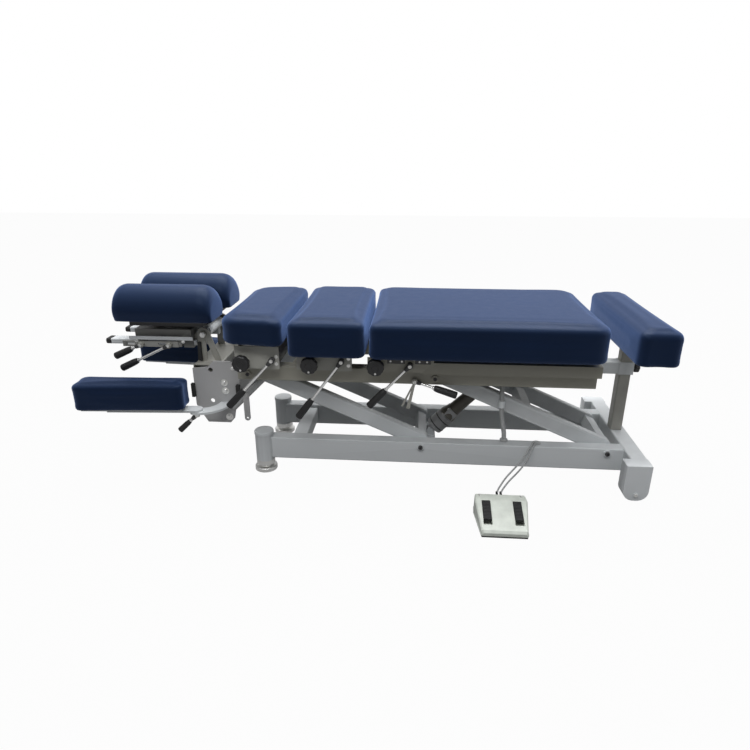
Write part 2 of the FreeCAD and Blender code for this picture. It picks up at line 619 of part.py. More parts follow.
def actuator_motor():
    eye = rod("motor_eye", d.eye_radius, d.eye_width, (0, -d.eye_width / 2, 0), "y")
    neck = block("motor_neck", (d.motor_start, d.eye_width, d.neck_height),
                 (0, -d.eye_width / 2, -d.neck_height / 2))
    drum = rod("motor_drum", d.motor_radius, d.motor_length, (d.motor_start, 0, 0), "x")
    housing = rounded("motor_housing", drum, d.motor_edge, is_rim)
    gearbox = block("motor_gearbox", (d.gearbox_length, d.gearbox_width, d.gearbox_height),
                    (d.motor_start + d.motor_length - d.motor_edge, -d.gearbox_width / 2, -d.gearbox_height / 2))
    gearbox = rounded("motor_gearbox_round", gearbox, d.motor_edge, runs_along("x"))
    sleeve = rod("motor_sleeve", d.outer_tube_radius, d.outer_tube_end - d.motor_start, (d.motor_start, 0, 0), "x")
    solid = joined("motor_solid", eye, neck, housing, gearbox, sleeve)
    bore = rod("motor_bore", d.inner_rod_radius + d.running_clearance, d.outer_tube_end,
               (d.inner_rod_start - d.overrun, 0, 0), "x")
    pin_hole = rod("motor_pin_hole", d.pin_radius + d.running_clearance, d.eye_width + 2 * d.overrun,
                   (0, -d.eye_width / 2 - d.overrun, 0), "y")
    return node("actuator_motor", aim_actuator(cut("actuator_motor_body", solid, bore, pin_hole)))


def actuator_rod():
    shaft = rod("rod_shaft", d.inner_rod_radius, actuator_length - d.inner_rod_start, (d.inner_rod_start, 0, 0), "x")
    eye = rod("rod_eye", d.eye_radius, d.eye_width, (actuator_length, -d.eye_width / 2, 0), "y")
    return node("actuator_rod", aim_actuator(joined("actuator_rod_body", shaft, eye)))


# Chassis carried by the arms: two rails with link tubes, a guide for the ankle bar, plates for the head end.

chassis_top = d.chassis_bottom + d.chassis_height
upper_height = d.pivot_height + d.arm_length * rest_sine
upper_pivots = (d.head_pivot - d.arm_length * rest_cosine, d.foot_pivot - d.arm_length * rest_cosine)
LINK_PLACES_SHARES = (0.17, 0.40, 0.69, 0.96)


def chassis_frame():
    length = d.chassis_foot - d.chassis_head
    solids, hollows = [], []
    for side in SIDES:
        label = f"{side_name(side)}_chassis_rail"
        rail_at = (d.chassis_head, across(side, rail_inner, d.rail_width), d.chassis_bottom)
        solids.append(tube(label, (length, d.rail_width, d.chassis_height), rail_at, "x", closed="end"))
        for number, pivot in enumerate(upper_pivots, start=1):
            hollows.append(bolt_hole(f"{label}_hole_{number}", pivot, upper_height, side))
    for number, share in enumerate(LINK_PLACES_SHARES, start=1):
        solids.append(block(f"chassis_link_{number}", (d.link_width, 2 * rail_inner, d.link_height),
                            (d.chassis_head + length * share - d.link_width / 2, -rail_inner,
                             chassis_top - d.link_height)))
    guide_length = d.chassis_foot - d.guide_start
    solids.append(block("ankle_guide", (guide_length, d.guide_size, d.guide_size),
                        (d.guide_start, -d.guide_size / 2, d.guide_middle - d.guide_size / 2)))
    bore = d.ankle_bar_size + 2 * d.free_gap
    hollows.append(block("ankle_guide_bore", (guide_length + 2 * d.overrun, bore, bore),
                         (d.guide_start - d.overrun, -bore / 2, d.guide_middle - bore / 2)))
    solids.append(rod("conduit_chassis_gland", d.conduit_gland_radius, d.conduit_gland_height,
                      (d.conduit_top, -d.conduit_side, d.chassis_bottom - d.conduit_gland_height)))
    hollows.append(rod("release_shaft_hole", d.lever_shaft_radius + d.running_clearance,
                       d.tube_wall + 2 * d.overrun,
                       (d.release_lever, -d.rail_outer - d.overrun, d.release_lever_height), "y"))
    return node("chassis_frame", cut("chassis_frame_body", joined("chassis_weldment", *solids), *hollows))


def chassis_bolts():
    bolts = pivot_bolts("chassis_bolt", upper_pivots, upper_height)
    outer = d.cheek_inner + d.cheek_thickness
    tilt_pin = [rod("tilt_pin_shank", d.pin_radius, 2 * outer, (d.tilt_pivot, -outer, d.tilt_height), "y")]
    for side in SIDES:
        tilt_pin.append(rod(f"tilt_pin_head_{side_name(side)}", d.pin_head_radius, d.pin_head_height,
                            (d.tilt_pivot, across(side, outer, d.pin_head_height), d.tilt_height), "y"))
    return node("chassis_bolts", group("chassis_bolts_set", *bolts, joined("tilt_pin", *tilt_pin)))


# Side plate outline, as shares of its length from the chassis end and of its height.
PLATE_OUTLINE_SHARES = (
    (0.00, 0.976), (0.00, 0.755), (0.08, 0.510), (0.20, 0.075), (0.29, 0.000), (0.78, 0.000),
    (0.85, 0.085), (1.00, 0.290), (1.00, 0.880), (0.67, 0.905), (0.55, 1.000), (0.19, 1.000), (0.17, 0.976))
PLATE_HOLES_SHARES = ((0.62, 0.86), (0.64, 0.36))


def side_plate(side):
    name = f"{side_name(side)}_side_plate"
    height = chassis_top + d.tube_wall - d.plate_bottom

    def place(along_share, up_share):
        return d.chassis_head - d.plate_length * along_share, d.plate_bottom + height * up_share
    corners = [place(*shares) for shares in PLATE_OUTLINE_SHARES]
    holes = [(*place(*shares), d.plate_hole_radius) for shares in PLATE_HOLES_SHARES]
    plate = padded_profile(f"{name}_sheet", "XZ_Plane", corners, d.plate_thickness, holes)
    seat(plate, (0, side * d.plate_middle, 0))
    foot = (d.chassis_head - d.brace_foot_in, side * d.plate_middle, d.plate_bottom + d.brace_foot_up)
    slope = math.radians(float(d.brace_angle))
    rise = d.chassis_bottom + d.brace_radius - foot[2]
    brace = rod(f"{name}_brace_bar", d.brace_radius, rise / math.sin(slope), (0, 0, 0))
    turned(brace, foot, ALONG_Y, 90 - float(d.brace_angle))
    trim = block(f"{name}_brace_trim", (2 * rise, 4 * d.brace_radius, rise),
                 (foot[0], foot[1] - 2 * d.brace_radius, d.chassis_bottom))
    parts = [plate, cut(f"{name}_brace", brace, trim)]
    if side == NEAR:
        reach = d.brace_radius + d.strap_thickness + 2 * d.free_gap + d.end_cap_thickness
        start = -d.plate_middle - reach
        parts.append(rod("strap_pin", d.strap_pin_radius, reach, (d.strap_place, start, d.strap_top), "y"))
        parts.append(rod("strap_pin_head", 2 * d.strap_pin_radius, d.end_cap_thickness,
                         (d.strap_place, start, d.strap_top), "y"))
    return node(name, joined(name, *parts))


def hanging_link():
    """Flat strap that hangs from the near brace, with a hole at its lower end."""
    start = -d.plate_middle - d.brace_radius - d.free_gap - d.strap_thickness
    half = d.strap_width / 2
    solids = [block("strap_bar", (d.strap_width, d.strap_thickness, d.strap_reach), (-half, 0, -d.strap_reach))]
    holes = []
    for number, level in enumerate((0, -d.strap_reach), start=1):
        solids.append(rod(f"strap_end_{number}", half, d.strap_thickness, (0, 0, level), "y"))
        holes.append(rod(f"strap_hole_{number}", d.strap_pin_radius + d.running_clearance,
                         d.strap_thickness + 2 * d.overrun, (0, -d.overrun, level), "y"))
    link = cut("hanging_link_body", joined("strap_solid", *solids), *holes)
    return node("hanging_link", turned(link, (d.strap_place, start, d.strap_top), ALONG_Y, 0))


def head_bracket():
    """Two cheeks that carry the tilt pin, each with an upright leg and a slanted strut on a cross beam."""
    beam_outer = d.plate_middle - d.plate_thickness / 2
    beam_size = (d.bracket_beam_foot - d.bracket_beam_head, 2 * beam_outer, d.bracket_beam_height)
    solids = [tube("bracket_beam", beam_size,
                   (d.bracket_beam_head, -beam_outer, d.cheek_foot - d.bracket_beam_height), "y")]
    rise = d.tilt_height - d.cheek_foot
    slope = math.radians(float(d.strut_angle))
    holes = []
    for side in SIDES:
        name = f"{side_name(side)}_cheek"
        start = across(side, d.cheek_inner, d.cheek_thickness)
        solids.append(rod(f"{name}_disc", d.cheek_radius, d.cheek_thickness, (d.tilt_pivot, start, d.tilt_height), "y"))
        solids.append(block(f"{name}_leg", (d.cheek_leg_width, d.cheek_thickness, rise),
                            (d.tilt_pivot - d.cheek_radius, start, d.cheek_foot)))
        strut = block(f"{name}_strut", (d.strut_width, d.cheek_thickness, rise / math.cos(slope)), (0, 0, 0))
        turned(strut, (d.tilt_pivot + d.cheek_radius, start, d.tilt_height), ALONG_Y, 180 - float(d.strut_angle))
        solids.append(strut)
        holes.append(rod(f"{name}_pin_hole", d.pin_radius + d.running_clearance, d.cheek_thickness + 2 * d.overrun,
                         (d.tilt_pivot, start - d.overrun, d.tilt_height), "y"))
    return node("head_bracket", cut("head_bracket_body", joined("head_bracket_weldment", *solids), *holes))


# Headpiece: tilting slide bars, a carriage on them, a drop plate on the carriage and two cushions.

slide_bar_inner = d.slide_bar_outer - d.slide_bar_width


def head_rails():
    solids = []
    bar_size = (d.slide_bar_foot - d.slide_bar_head, d.slide_bar_width, d.slide_bar_height)
    yoke_size = (d.tilt_pivot - d.yoke_head, d.yoke_thickness, d.tilt_height - slide_bar_bottom)
    for side in SIDES:
        name = f"{side_name(side)}_slide_bar"
        bar_at = (d.slide_bar_head, across(side, slide_bar_inner, d.slide_bar_width), slide_bar_bottom)
        solids.append(tube(name, bar_size, bar_at, "x", closed="start"))
        yoke_at = (d.yoke_head, across(side, slide_bar_inner, d.yoke_thickness), slide_bar_bottom)
        solids.append(block(f"{name}_yoke", yoke_size, yoke_at))
    half = slide_bar_inner + d.yoke_thickness
    solids.append(rod("tilt_barrel", d.barrel_radius, 2 * half, (d.tilt_pivot, -half, d.tilt_height), "y"))
    bore = rod("tilt_barrel_bore", d.pin_radius + d.running_clearance, 2 * (half + d.overrun),
               (d.tilt_pivot, -half - d.overrun, d.tilt_height), "y")
    return node("head_rails", cut("head_rails_body", joined("head_rails_weldment", *solids), bore))


carriage_bottom = carriage_top - d.carriage_height
slot_bar_middle = slide_bar_bottom + d.slide_bar_height / 2 + d.tube_wall
guide_posts = (d.guide_post_head, d.guide_post_foot)


def carriage_runners(side):
    """Two runners that wrap the slide bar, and the bore that they share."""
    name = f"{side_name(side)}_runner"
    margin = d.free_gap + d.runner_wall
    bottom = slide_bar_bottom - margin
    size = (d.runner_length, d.slide_bar_width + 2 * margin, carriage_top - d.carriage_wall - bottom)
    start_y = across(side, slide_bar_inner - margin, d.slide_bar_width + 2 * margin)
    solids = [block(f"{name}_{number}", size, (start, start_y, bottom))
              for number, start in enumerate((d.carriage_head, d.carriage_foot - d.runner_length), start=1)]
    bore_size = (d.carriage_foot - d.carriage_head + 2 * d.overrun, d.slide_bar_width + 2 * d.free_gap,
                 d.slide_bar_height + 2 * d.free_gap)
    bore = block(f"{name}_bore", bore_size,
                 (d.carriage_head - d.overrun, across(side, slide_bar_inner - d.free_gap, bore_size[1]),
                  slide_bar_bottom - d.free_gap))
    return solids, bore


def slot_bar(side):
    """Slotted bar beside the carriage, on two spacers, with the shaft holes of the near levers."""
    name = f"{side_name(side)}_slot_bar"
    thickness, bottom = d.slot_bar_thickness, slot_bar_middle - d.slot_bar_height / 2
    start = across(side, d.slot_bar_inner, thickness)
    solids = [block(f"{name}_flat", (d.slot_bar_foot - d.slot_bar_head, thickness, d.slot_bar_height),
                    (d.slot_bar_head, start, bottom))]
    spacer_inner = d.slide_bar_outer + d.free_gap
    spacer_width = d.slot_bar_inner - spacer_inner
    spacer_size = (d.spacer_length, spacer_width, carriage_bottom + d.carriage_wall - bottom)
    hollows = []
    ends = (d.carriage_head, d.carriage_foot - d.runner_length - d.spacer_length)
    for number, place in enumerate(ends, start=1):
        solids.append(block(f"{name}_spacer_{number}", spacer_size,
                            (place, across(side, spacer_inner, spacer_width), bottom)))
    slots = (d.slot_bar_head + d.slot_end, d.slot_bar_foot - d.slot_second_inset)
    for number, place in enumerate(slots, start=1):
        hollows.append(block(f"{name}_slot_{number}", (d.slot_length, thickness + 2 * d.overrun, d.slot_height),
                             (place, start - d.overrun, slot_bar_middle - d.slot_height / 2)))
    if side == NEAR:
        for number, lever in enumerate((d.carriage_lever, d.drop_lever), start=1):
            hollows.append(rod(f"{name}_shaft_hole_{number}", d.lever_shaft_radius + d.running_clearance,
                               thickness + 2 * d.overrun, (lever, start - d.overrun, slot_bar_middle), "y"))
    return solids, hollows


def head_carriage():
    """Inverted pan on four runners, with guide sleeves for the drop plate and a slotted bar on each side."""
    length = d.carriage_foot - d.carriage_head
    wall = d.carriage_wall
    pan = block("carriage_block", (length, 2 * d.carriage_half_width, d.carriage_height),
                (d.carriage_head, -d.carriage_half_width, carriage_bottom))
    inner_half = d.carriage_half_width - wall
    hollow = block("carriage_hollow", (length - 2 * wall, 2 * inner_half, d.carriage_height - wall + d.overrun),
                   (d.carriage_head + wall, -inner_half, carriage_bottom - d.overrun))
    solids = [cut("carriage_pan", pan, hollow)]
    hollows = []
    for side in SIDES:
        runners, bore = carriage_runners(side)
        bars, slots = slot_bar(side)
        solids += runners + bars
        hollows += [bore, *slots]
    for number, place in enumerate(guide_posts, start=1):
        solids.append(rod(f"guide_sleeve_{number}", d.guide_post_radius + d.guide_wall, d.carriage_height,
                          (place, 0, carriage_bottom)))
        hollows.append(rod(f"guide_bore_{number}", d.guide_post_radius + d.running_clearance,
                           d.carriage_height + 2 * d.overrun, (place, 0, carriage_bottom - d.overrun)))
    return node("head_carriage", cut("head_carriage_body", joined("head_carriage_weldment", *solids), *hollows))


def head_plate():
    bottom = pad_bottom - d.plate_height
    parts = [block("head_plate_flat", (d.plate_foot - d.plate_head, 2 * d.plate_half_width, d.plate_height),
                   (d.plate_head, -d.plate_half_width, bottom))]
    for number, place in enumerate(guide_posts, start=1):
        parts.append(rod(f"guide_post_{number}", d.guide_post_radius, d.guide_post_reach,
                         (place, 0, bottom - d.guide_post_reach)))
    return node("head_plate", joined("head_plate_body", *parts))


# Head cushion: a bolster with upright sides and a half-round top, rounded down at its foot end.
# Each share pair is a place within the rounded stretch and the section's size there.
PAD_FOOT_SHARES = ((0.00, 0.60), (0.08, 0.74), (0.25, 0.86), (0.55, 0.955), (1.00, 1.00))
PAD_HEAD_SHARES = ((0.00, 0.86), (0.30, 0.95), (1.00, 1.00))


def pad_section(place, middle, scale_share):
    bottom = float(pad_bottom)
    tall = float(d.pad_height) * scale_share
    wide = float(d.pad_width) / 2 * (1 + scale_share) / 2
    foot = wide - float(d.pad_side_draw)
    knee = bottom + float(d.pad_side) * scale_share
    rise = bottom + tall - knee
    swell = math.sin(math.pi / 4)
    left_foot, right_foot = Vector(place, middle - foot, bottom), Vector(place, middle + foot, bottom)
    left, right = Vector(place, middle - wide, knee), Vector(place, middle + wide, knee)
    top = Vector(place, middle, bottom + tall)
    left_arc = Vector(place, middle - wide * swell, knee + rise * swell)
    right_arc = Vector(place, middle + wide * swell, knee + rise * swell)
    return Part.Wire([
        Part.LineSegment(left_foot, right_foot).toShape(), Part.LineSegment(right_foot, right).toShape(),
        Part.Arc(right, right_arc, top).toShape(), Part.Arc(top, left_arc, left).toShape(),
        Part.LineSegment(left, left_foot).toShape()])


def head_pad(side):
    name = f"{side_name(side)}_head_pad"
    middle = side * (float(d.pad_inner) + float(d.pad_width) / 2)
    sections = [pad_section(float(d.pad_head) + float(d.pad_head_round) * along_share, middle, scale_share)
                for along_share, scale_share in PAD_HEAD_SHARES]
    sections += [pad_section(float(d.pad_foot) - float(d.pad_foot_round) * along_share, middle, scale_share)
                 for along_share, scale_share in reversed(PAD_FOOT_SHARES)]
    return node(name, shaped(name, Part.makeLoft(sections, True, True)))


# Cushions: lofted through rounded outlines, with drawn-in sides and a crown.

CORNER_LIMIT_SHARE = 0.8


def outline(low, high, low_half, high_half, low_corner, high_corner, draw, inset, level):
    """Closed wire of four drawn-in sides and four round corners, shrunk by inset at one level."""
    corners = [Vector(low + inset, inset - low_half, level), Vector(high - inset, inset - high_half, level),
               Vector(high - inset, high_half - inset, level), Vector(low + inset, low_half - inset, level)]
    limit = CORNER_LIMIT_SHARE * (min(low_half, high_half, (high - low) / 2) - inset)
    rounds = [min(limit, max(value - inset / 2, value / 3))
              for value in (low_corner, high_corner, high_corner, low_corner)]
    edges = []
    for number in range(4):
        here, after, further = (corners[(number + step) % 4] for step in range(3))
        along = (after - here).normalize()
        onward = (further - after).normalize()
        inward = Vector(-along.y, along.x, 0)
        start = here + along * rounds[number]
        radius = rounds[(number + 1) % 4]
        end = after - along * radius
        edges.append(Part.Arc(start, (start + end) * 0.5 + inward * draw, end).toShape())
        toward = onward - along
        middle = after + toward * (radius * (1 - 1 / toward.Length))
        edges.append(Part.Arc(end, middle, after + onward * radius).toShape())
    return Part.Wire(edges)


# Each share pair is a height within a band and how far the outline is drawn in there.
UNDER_SHARES = ((0.00, 0.60), (0.35, 0.20), (1.00, 0.00))
EDGE_SHARES = ((0.00, 0.00), (0.38, 0.08), (0.71, 0.29), (0.92, 0.62), (1.00, 1.00))


def cushion_shape(low, high, low_half, high_half, low_corner, high_corner, bottom, height, edge_round, crown):
    low, high, low_half, high_half, low_corner, high_corner, bottom, height, edge_round, crown = map(
        float, (low, high, low_half, high_half, low_corner, high_corner, bottom, height, edge_round, crown))
    under, draw = float(d.under_round), float(d.side_draw)
    shoulder = bottom + height - crown - edge_round
    flat = min(float(d.crown_inset), min(low_half, high_half, (high - low) / 2) / 3)
    levels = [(bottom + under * up, under * inward) for up, inward in UNDER_SHARES]
    levels += [(shoulder + edge_round * up, edge_round * inward) for up, inward in EDGE_SHARES]
    levels.append((bottom + height - crown / 3, edge_round + flat / 3))
    levels.append((bottom + height, edge_round + flat))
    wires = [outline(low, high, low_half, high_half, low_corner, high_corner, draw, inset, level)
             for level, inset in levels]
    return Part.makeLoft(wires, True, True)


upper_cushion_bottom = d.cushion_bottom + d.upper_chest_rise


def cushions():
    sections = {
        "pelvic_cushion": (d.pelvic_head, d.pelvic_foot, d.pelvic_half_width, d.pelvic_half_width,
                           d.pelvic_head_corner, d.pelvic_foot_corner, d.cushion_bottom, d.cushion_height),
        "lower_chest_cushion": (d.lower_chest_head, d.lower_chest_foot, d.lower_chest_half_width,
                                d.lower_chest_half_width, d.chest_corner, d.chest_corner,
                                d.cushion_bottom, d.cushion_height),
        "upper_chest_cushion": (d.upper_chest_head, d.upper_chest_foot, d.upper_chest_head_half,
                                d.upper_chest_foot_half, d.upper_chest_corner, d.chest_corner,
                                upper_cushion_bottom, d.cushion_height - d.upper_chest_rise),
        "ankle_cushion": (d.ankle_head, d.ankle_foot, d.ankle_half_width, d.ankle_half_width,
                          d.ankle_corner, d.ankle_corner, d.ankle_bottom, d.ankle_height),
    }
    for name, places in sections.items():
        node(name, shaped(name, cushion_shape(*places, d.edge_round, d.crown)))


# Drop sections: a board hinged on a rod between the carrier's side plates.

BOARDS = {
    "upper_chest": (d.upper_chest_head, d.upper_chest_foot, upper_cushion_bottom,
                    d.upper_carrier_head + d.hinge_inset, d.hinge_height + d.upper_chest_rise),
    "lower_chest": (d.lower_chest_head, d.lower_chest_foot, d.cushion_bottom,
                    d.lower_carrier_foot - d.hinge_inset, d.hinge_height),
    "pelvic": (d.pelvic_head, d.pelvic_foot, d.cushion_bottom,
               d.subframe_foot - d.subframe_width / 2, d.hinge_height),
}


def board(name):
    head, foot, top, hinge, hinge_level = BOARDS[name]
    label = f"{name}_board"
    length = foot - head - 2 * d.board_end_inset
    parts = [block(f"{label}_sheet", (length, 2 * d.board_half_width, d.board_thickness),
                   (head + d.board_end_inset, -d.board_half_width, top - d.board_thickness))]
    bores = []
    web_size = (2 * d.knuckle_radius, d.knuckle_length, top - d.board_thickness / 2 - hinge_level)
    for side in SIDES:
        knuckle = f"{label}_{side_name(side)}_knuckle"
        start = across(side, d.knuckle_place, d.knuckle_length)
        parts.append(rod(knuckle, d.knuckle_radius, d.knuckle_length, (hinge, start, hinge_level), "y"))
        parts.append(block(f"{knuckle}_web", web_size, (hinge - d.knuckle_radius, start, hinge_level)))
        bores.append(rod(f"{knuckle}_bore", d.hinge_rod_radius + d.running_clearance,
                         d.knuckle_length + 2 * d.overrun, (hinge, start - d.overrun, hinge_level), "y"))
    return node(label, cut(f"{label}_body", joined(f"{label}_solid", *parts), *bores))


def side_holes(name, knob, lever, lever_level):
    """Holes through the near side plate for the tension knob's stud and the lever's shaft."""
    length = d.carrier_plate + 2 * d.overrun
    start = -d.carrier_outer - d.overrun
    holes = ((knob, d.knob_level, d.knob_stud_radius), (lever, lever_level, d.lever_shaft_radius))
    return [rod(f"{name}_plate_hole_{number}", radius + d.running_clearance, length, (place, start, level), "y")
            for number, (place, level, radius) in enumerate(holes, start=1)]


def carrier(name, head, foot, rise, holes):
    label = f"{name}_carrier"
    hinge, hinge_level = BOARDS[name][3:]
    inner = d.carrier_outer - d.carrier_plate
    plate_size = (foot - head, d.carrier_plate, d.carrier_top + rise - d.carrier_bottom)
    parts = [block(f"{label}_{side_name(side)}_plate", plate_size,
                   (head, across(side, inner, d.carrier_plate), d.carrier_bottom)) for side in SIDES]
    starts = (head + d.carrier_beam_inset, foot - d.carrier_beam_inset - d.carrier_beam_width)
    for number, start in enumerate(starts, start=1):
        parts.append(tube(f"{label}_beam_{number}", (d.carrier_beam_width, 2 * inner, d.carrier_beam_height),
                          (start, -inner, chassis_top), "y"))
    parts.append(rod(f"{label}_hinge_rod", d.hinge_rod_radius, 2 * inner, (hinge, -inner, hinge_level), "y"))
    return node(label, cut(f"{label}_body", joined(f"{label}_weldment", *parts), *holes))


def ladder_ring(name, grow, start_height, height):
    """Rectangular ring of the pelvic subframe, drawn in by grow on all its faces."""
    length = d.subframe_foot - d.subframe_head
    outer = d.carrier_outer
    inside = d.subframe_width - grow
    out = block(f"{name}_out", (length - 2 * grow, 2 * (outer - grow), height),
                (d.subframe_head + grow, grow - outer, start_height))
    gap = block(f"{name}_in", (length - 2 * inside, 2 * (outer - inside), height + 2 * d.overrun),
                (d.subframe_head + inside, inside - outer, start_height - d.overrun))
    return cut(name, out, gap)


def pelvic_subframe():
    """Ladder of pressed channels, open below, with cheeks that reach to the pelvic drop hardware."""
    skin = ladder_ring("subframe_skin", 0, chassis_top, d.subframe_height)
    groove = ladder_ring("subframe_groove", d.tube_wall, chassis_top - d.overrun,
                         d.subframe_height + d.overrun - d.tube_wall)
    parts = [cut("subframe_channels", skin, groove)]
    inner = d.carrier_outer - d.carrier_plate
    hinge, hinge_level = BOARDS["pelvic"][3:]
    subframe_top = chassis_top + d.subframe_height
    cheek_size = (d.subframe_head + d.subframe_width - d.pelvic_cheek_head, d.carrier_plate,
                  d.carrier_top - d.carrier_bottom)
    lug_inner = d.knuckle_place + d.knuckle_length + d.free_gap
    for side in SIDES:
        name = f"{side_name(side)}_pelvic"
        parts.append(block(f"{name}_cheek", cheek_size,
                           (d.pelvic_cheek_head, across(side, inner, d.carrier_plate), d.carrier_bottom)))
        lug_start = across(side, lug_inner, d.hinge_lug_thickness)
        parts.append(block(f"{name}_hinge_lug", (2 * d.hinge_rod_radius, d.hinge_lug_thickness, hinge_level - subframe_top),
                           (hinge - d.hinge_rod_radius, lug_start, subframe_top)))
        parts.append(rod(f"{name}_hinge_eye", d.hinge_rod_radius, d.hinge_lug_thickness,
                         (hinge, lug_start, hinge_level), "y"))
    parts.append(tube("pelvic_cheek_beam", (d.carrier_beam_width, 2 * inner, d.carrier_beam_height),
                      (d.pelvic_cheek_head + d.carrier_beam_inset, -inner, chassis_top), "y"))
    parts.append(rod("pelvic_hinge_rod", d.hinge_rod_radius, 2 * lug_inner, (hinge, -lug_inner, hinge_level), "y"))
    holes = side_holes("pelvic", d.pelvic_knob, d.pelvic_lever, d.pelvic_lever_height)
    return node("pelvic_subframe", cut("pelvic_subframe_body", joined("pelvic_subframe_weldment", *parts), *holes))


# Knobs and levers on the near side.

def tension_knob(name, place):
    label = f"{name}_knob"
    face = -d.carrier_outer - d.free_gap
    grip_face = -d.carrier_outer - d.knob_stand_off
    grip = rod(f"{label}_grip", d.knob_radius, d.knob_height, (place, grip_face - d.knob_height, d.knob_level), "y")
    grip = rounded(f"{label}_round", grip, d.knob_edge, is_rim)
    hub = rod(f"{label}_hub", d.knob_hub_radius, face - grip_face, (place, grip_face, d.knob_level), "y")
    stud = rod(f"{label}_stud", d.knob_stud_radius, d.free_gap + d.carrier_plate + d.knob_stud_reach,
               (place, face, d.knob_level), "y")
    return node(label, joined(label, grip, hub, stud))


def hand_grip(name, radius, length, start):
    """Grip's outer shape: a cylinder with a round tip."""
    bar = rod(f"{name}_grip", radius, length - radius, (start, 0, 0), "x")
    tip = document.addObject("Part::Sphere", f"{name}_tip")
    bind(tip, "Radius", radius)
    seat(tip, (start + length - radius, 0, 0))
    return joined(f"{name}_grip_solid", bar, tip)


def lever_arm(name, length, grip_radius, grip_length, place, slope, splay):
    """Bare rod and grip, splayed outwards and then leaned below the head end."""
    arm = joined(f"{name}_arm", rod(f"{name}_rod", d.lever_rod_radius, length, (0, 0, 0), "x"),
                 hand_grip(name, grip_radius, grip_length, length - d.overrun))
    turned(arm, (0, 0, 0), ALONG_Z, 180 + float(splay))
    return turned(arm, place, ALONG_Y, -float(slope))


def side_lever(name, place, level, face, thickness, length, slope, grip_length=d.grip_length):
    """Lever on a shaft through a plate whose near face stands at the given distance."""
    hub_start = -face - d.free_gap - d.lever_hub_height
    arm = lever_arm(name, length, d.grip_radius, grip_length,
                    (place, hub_start + d.lever_hub_height / 2, level), slope, d.lever_splay_angle)
    hub = rod(f"{name}_hub", d.lever_hub_radius, d.lever_hub_height, (place, hub_start, level), "y")
    shaft_length = d.free_gap + thickness + d.free_gap + d.lever_collar_height
    shaft = rod(f"{name}_shaft", d.lever_shaft_radius, shaft_length, (place, -face - d.free_gap, level), "y")
    collar = rod(f"{name}_collar", d.lever_collar_radius, d.lever_collar_height,
                 (place, thickness + d.free_gap - face, level), "y")
    return node(name, joined(name, arm, hub, shaft, collar))


def release_lever():
    """Lever on the outside of the near rail, with two crank bars that hang from its hub."""
    name = "release_lever"
    place, level = d.release_lever, d.release_lever_height
    face = -d.rail_outer - d.free_gap
    hub_start = face - d.lever_hub_height
    parts = [lever_arm(name, d.release_lever_length, d.grip_radius, d.grip_length,
                       (place, hub_start + d.lever_hub_height / 2, level), d.release_lever_angle,
                       d.lever_splay_angle),
             rod(f"{name}_hub", d.lever_hub_radius, d.lever_hub_height, (place, hub_start, level), "y"),
             rod(f"{name}_shaft", d.lever_shaft_radius, d.free_gap + d.tube_wall, (place, face, level), "y")]
    for number, slope in enumerate((d.crank_first_angle, d.crank_second_angle), start=1):
        crank = rod(f"{name}_crank_{number}", d.crank_radius, d.crank_length, (0, 0, 0))
        parts.append(turned(crank, (place, hub_start + d.crank_radius, level), ALONG_Y, 180 + float(slope)))
    return node(name, joined(name, *parts))


# Arm rests: a curved flat bar from each side plate, a swivelling strip with its board, and a clamp lever.

def arm_bar(side):
    name = f"{side_name(side)}_arm_bar"
    bottom = d.arm_bar_top - d.arm_bar_thickness
    plate_face = d.plate_middle + d.plate_thickness / 2
    bend = d.arm_pivot_side - plate_face
    half = d.arm_bar_width / 2
    outer = rod(f"{name}_outer", bend + half, d.arm_bar_thickness, (d.arm_pivot, side * plate_face, bottom))
    inner = rod(f"{name}_inner", bend - half, d.arm_bar_thickness + 2 * d.overrun,
                (d.arm_pivot, side * plate_face, bottom - d.overrun))
    quarter = document.addObject("Part::Common", f"{name}_bend")
    quarter.Base = cut(f"{name}_ring", outer, inner)
    quarter.Tool = block(f"{name}_quarter", (bend + half, bend + half, d.arm_bar_thickness),
                         (d.arm_pivot, across(side, plate_face, bend + half), bottom))
    end = rod(f"{name}_end", half, d.arm_bar_thickness, (d.arm_pivot, side * d.arm_pivot_side, bottom))
    hole = rod(f"{name}_stud_hole", d.arm_stud_radius + d.running_clearance, d.arm_bar_thickness + 2 * d.overrun,
               (d.arm_pivot, side * d.arm_pivot_side, bottom - d.overrun))
    return cut(name, joined(f"{name}_flat", quarter, end), hole)


def on_arm(item, side):
    return turned(item, (d.arm_pivot, side * d.arm_pivot_side, 0), ALONG_Z, -side * float(d.arm_turn_angle))


def arm_strip(side):
    """Steel strip with the arm cushion's board on it and the clamp stud under it."""
    name = f"{side_name(side)}_arm_strip"
    bottom = d.arm_bar_top + d.free_gap
    half = d.arm_bar_width / 2
    board_half = d.arm_pad_foot_half - d.board_end_inset
    strip = block(f"{name}_flat", (d.arm_strip_reach, d.arm_bar_width, d.arm_strip_thickness),
                  (-d.arm_strip_reach, -half, bottom))
    end = rod(f"{name}_end", half, d.arm_strip_thickness, (0, 0, bottom))
    panel = block(f"{name}_board", (d.arm_pad_length - 2 * d.board_end_inset, 2 * board_half, d.board_thickness),
                  (d.board_end_inset - d.arm_pad_near - d.arm_pad_length, -board_half,
                   bottom + d.arm_strip_thickness))
    stud_length = 2 * d.free_gap + d.arm_bar_thickness + d.clamp_hub_height
    stud = rod(f"{name}_stud", d.arm_stud_radius, stud_length, (0, 0, bottom - stud_length))
    return node(name, on_arm(joined(name, strip, end, panel, stud), side))


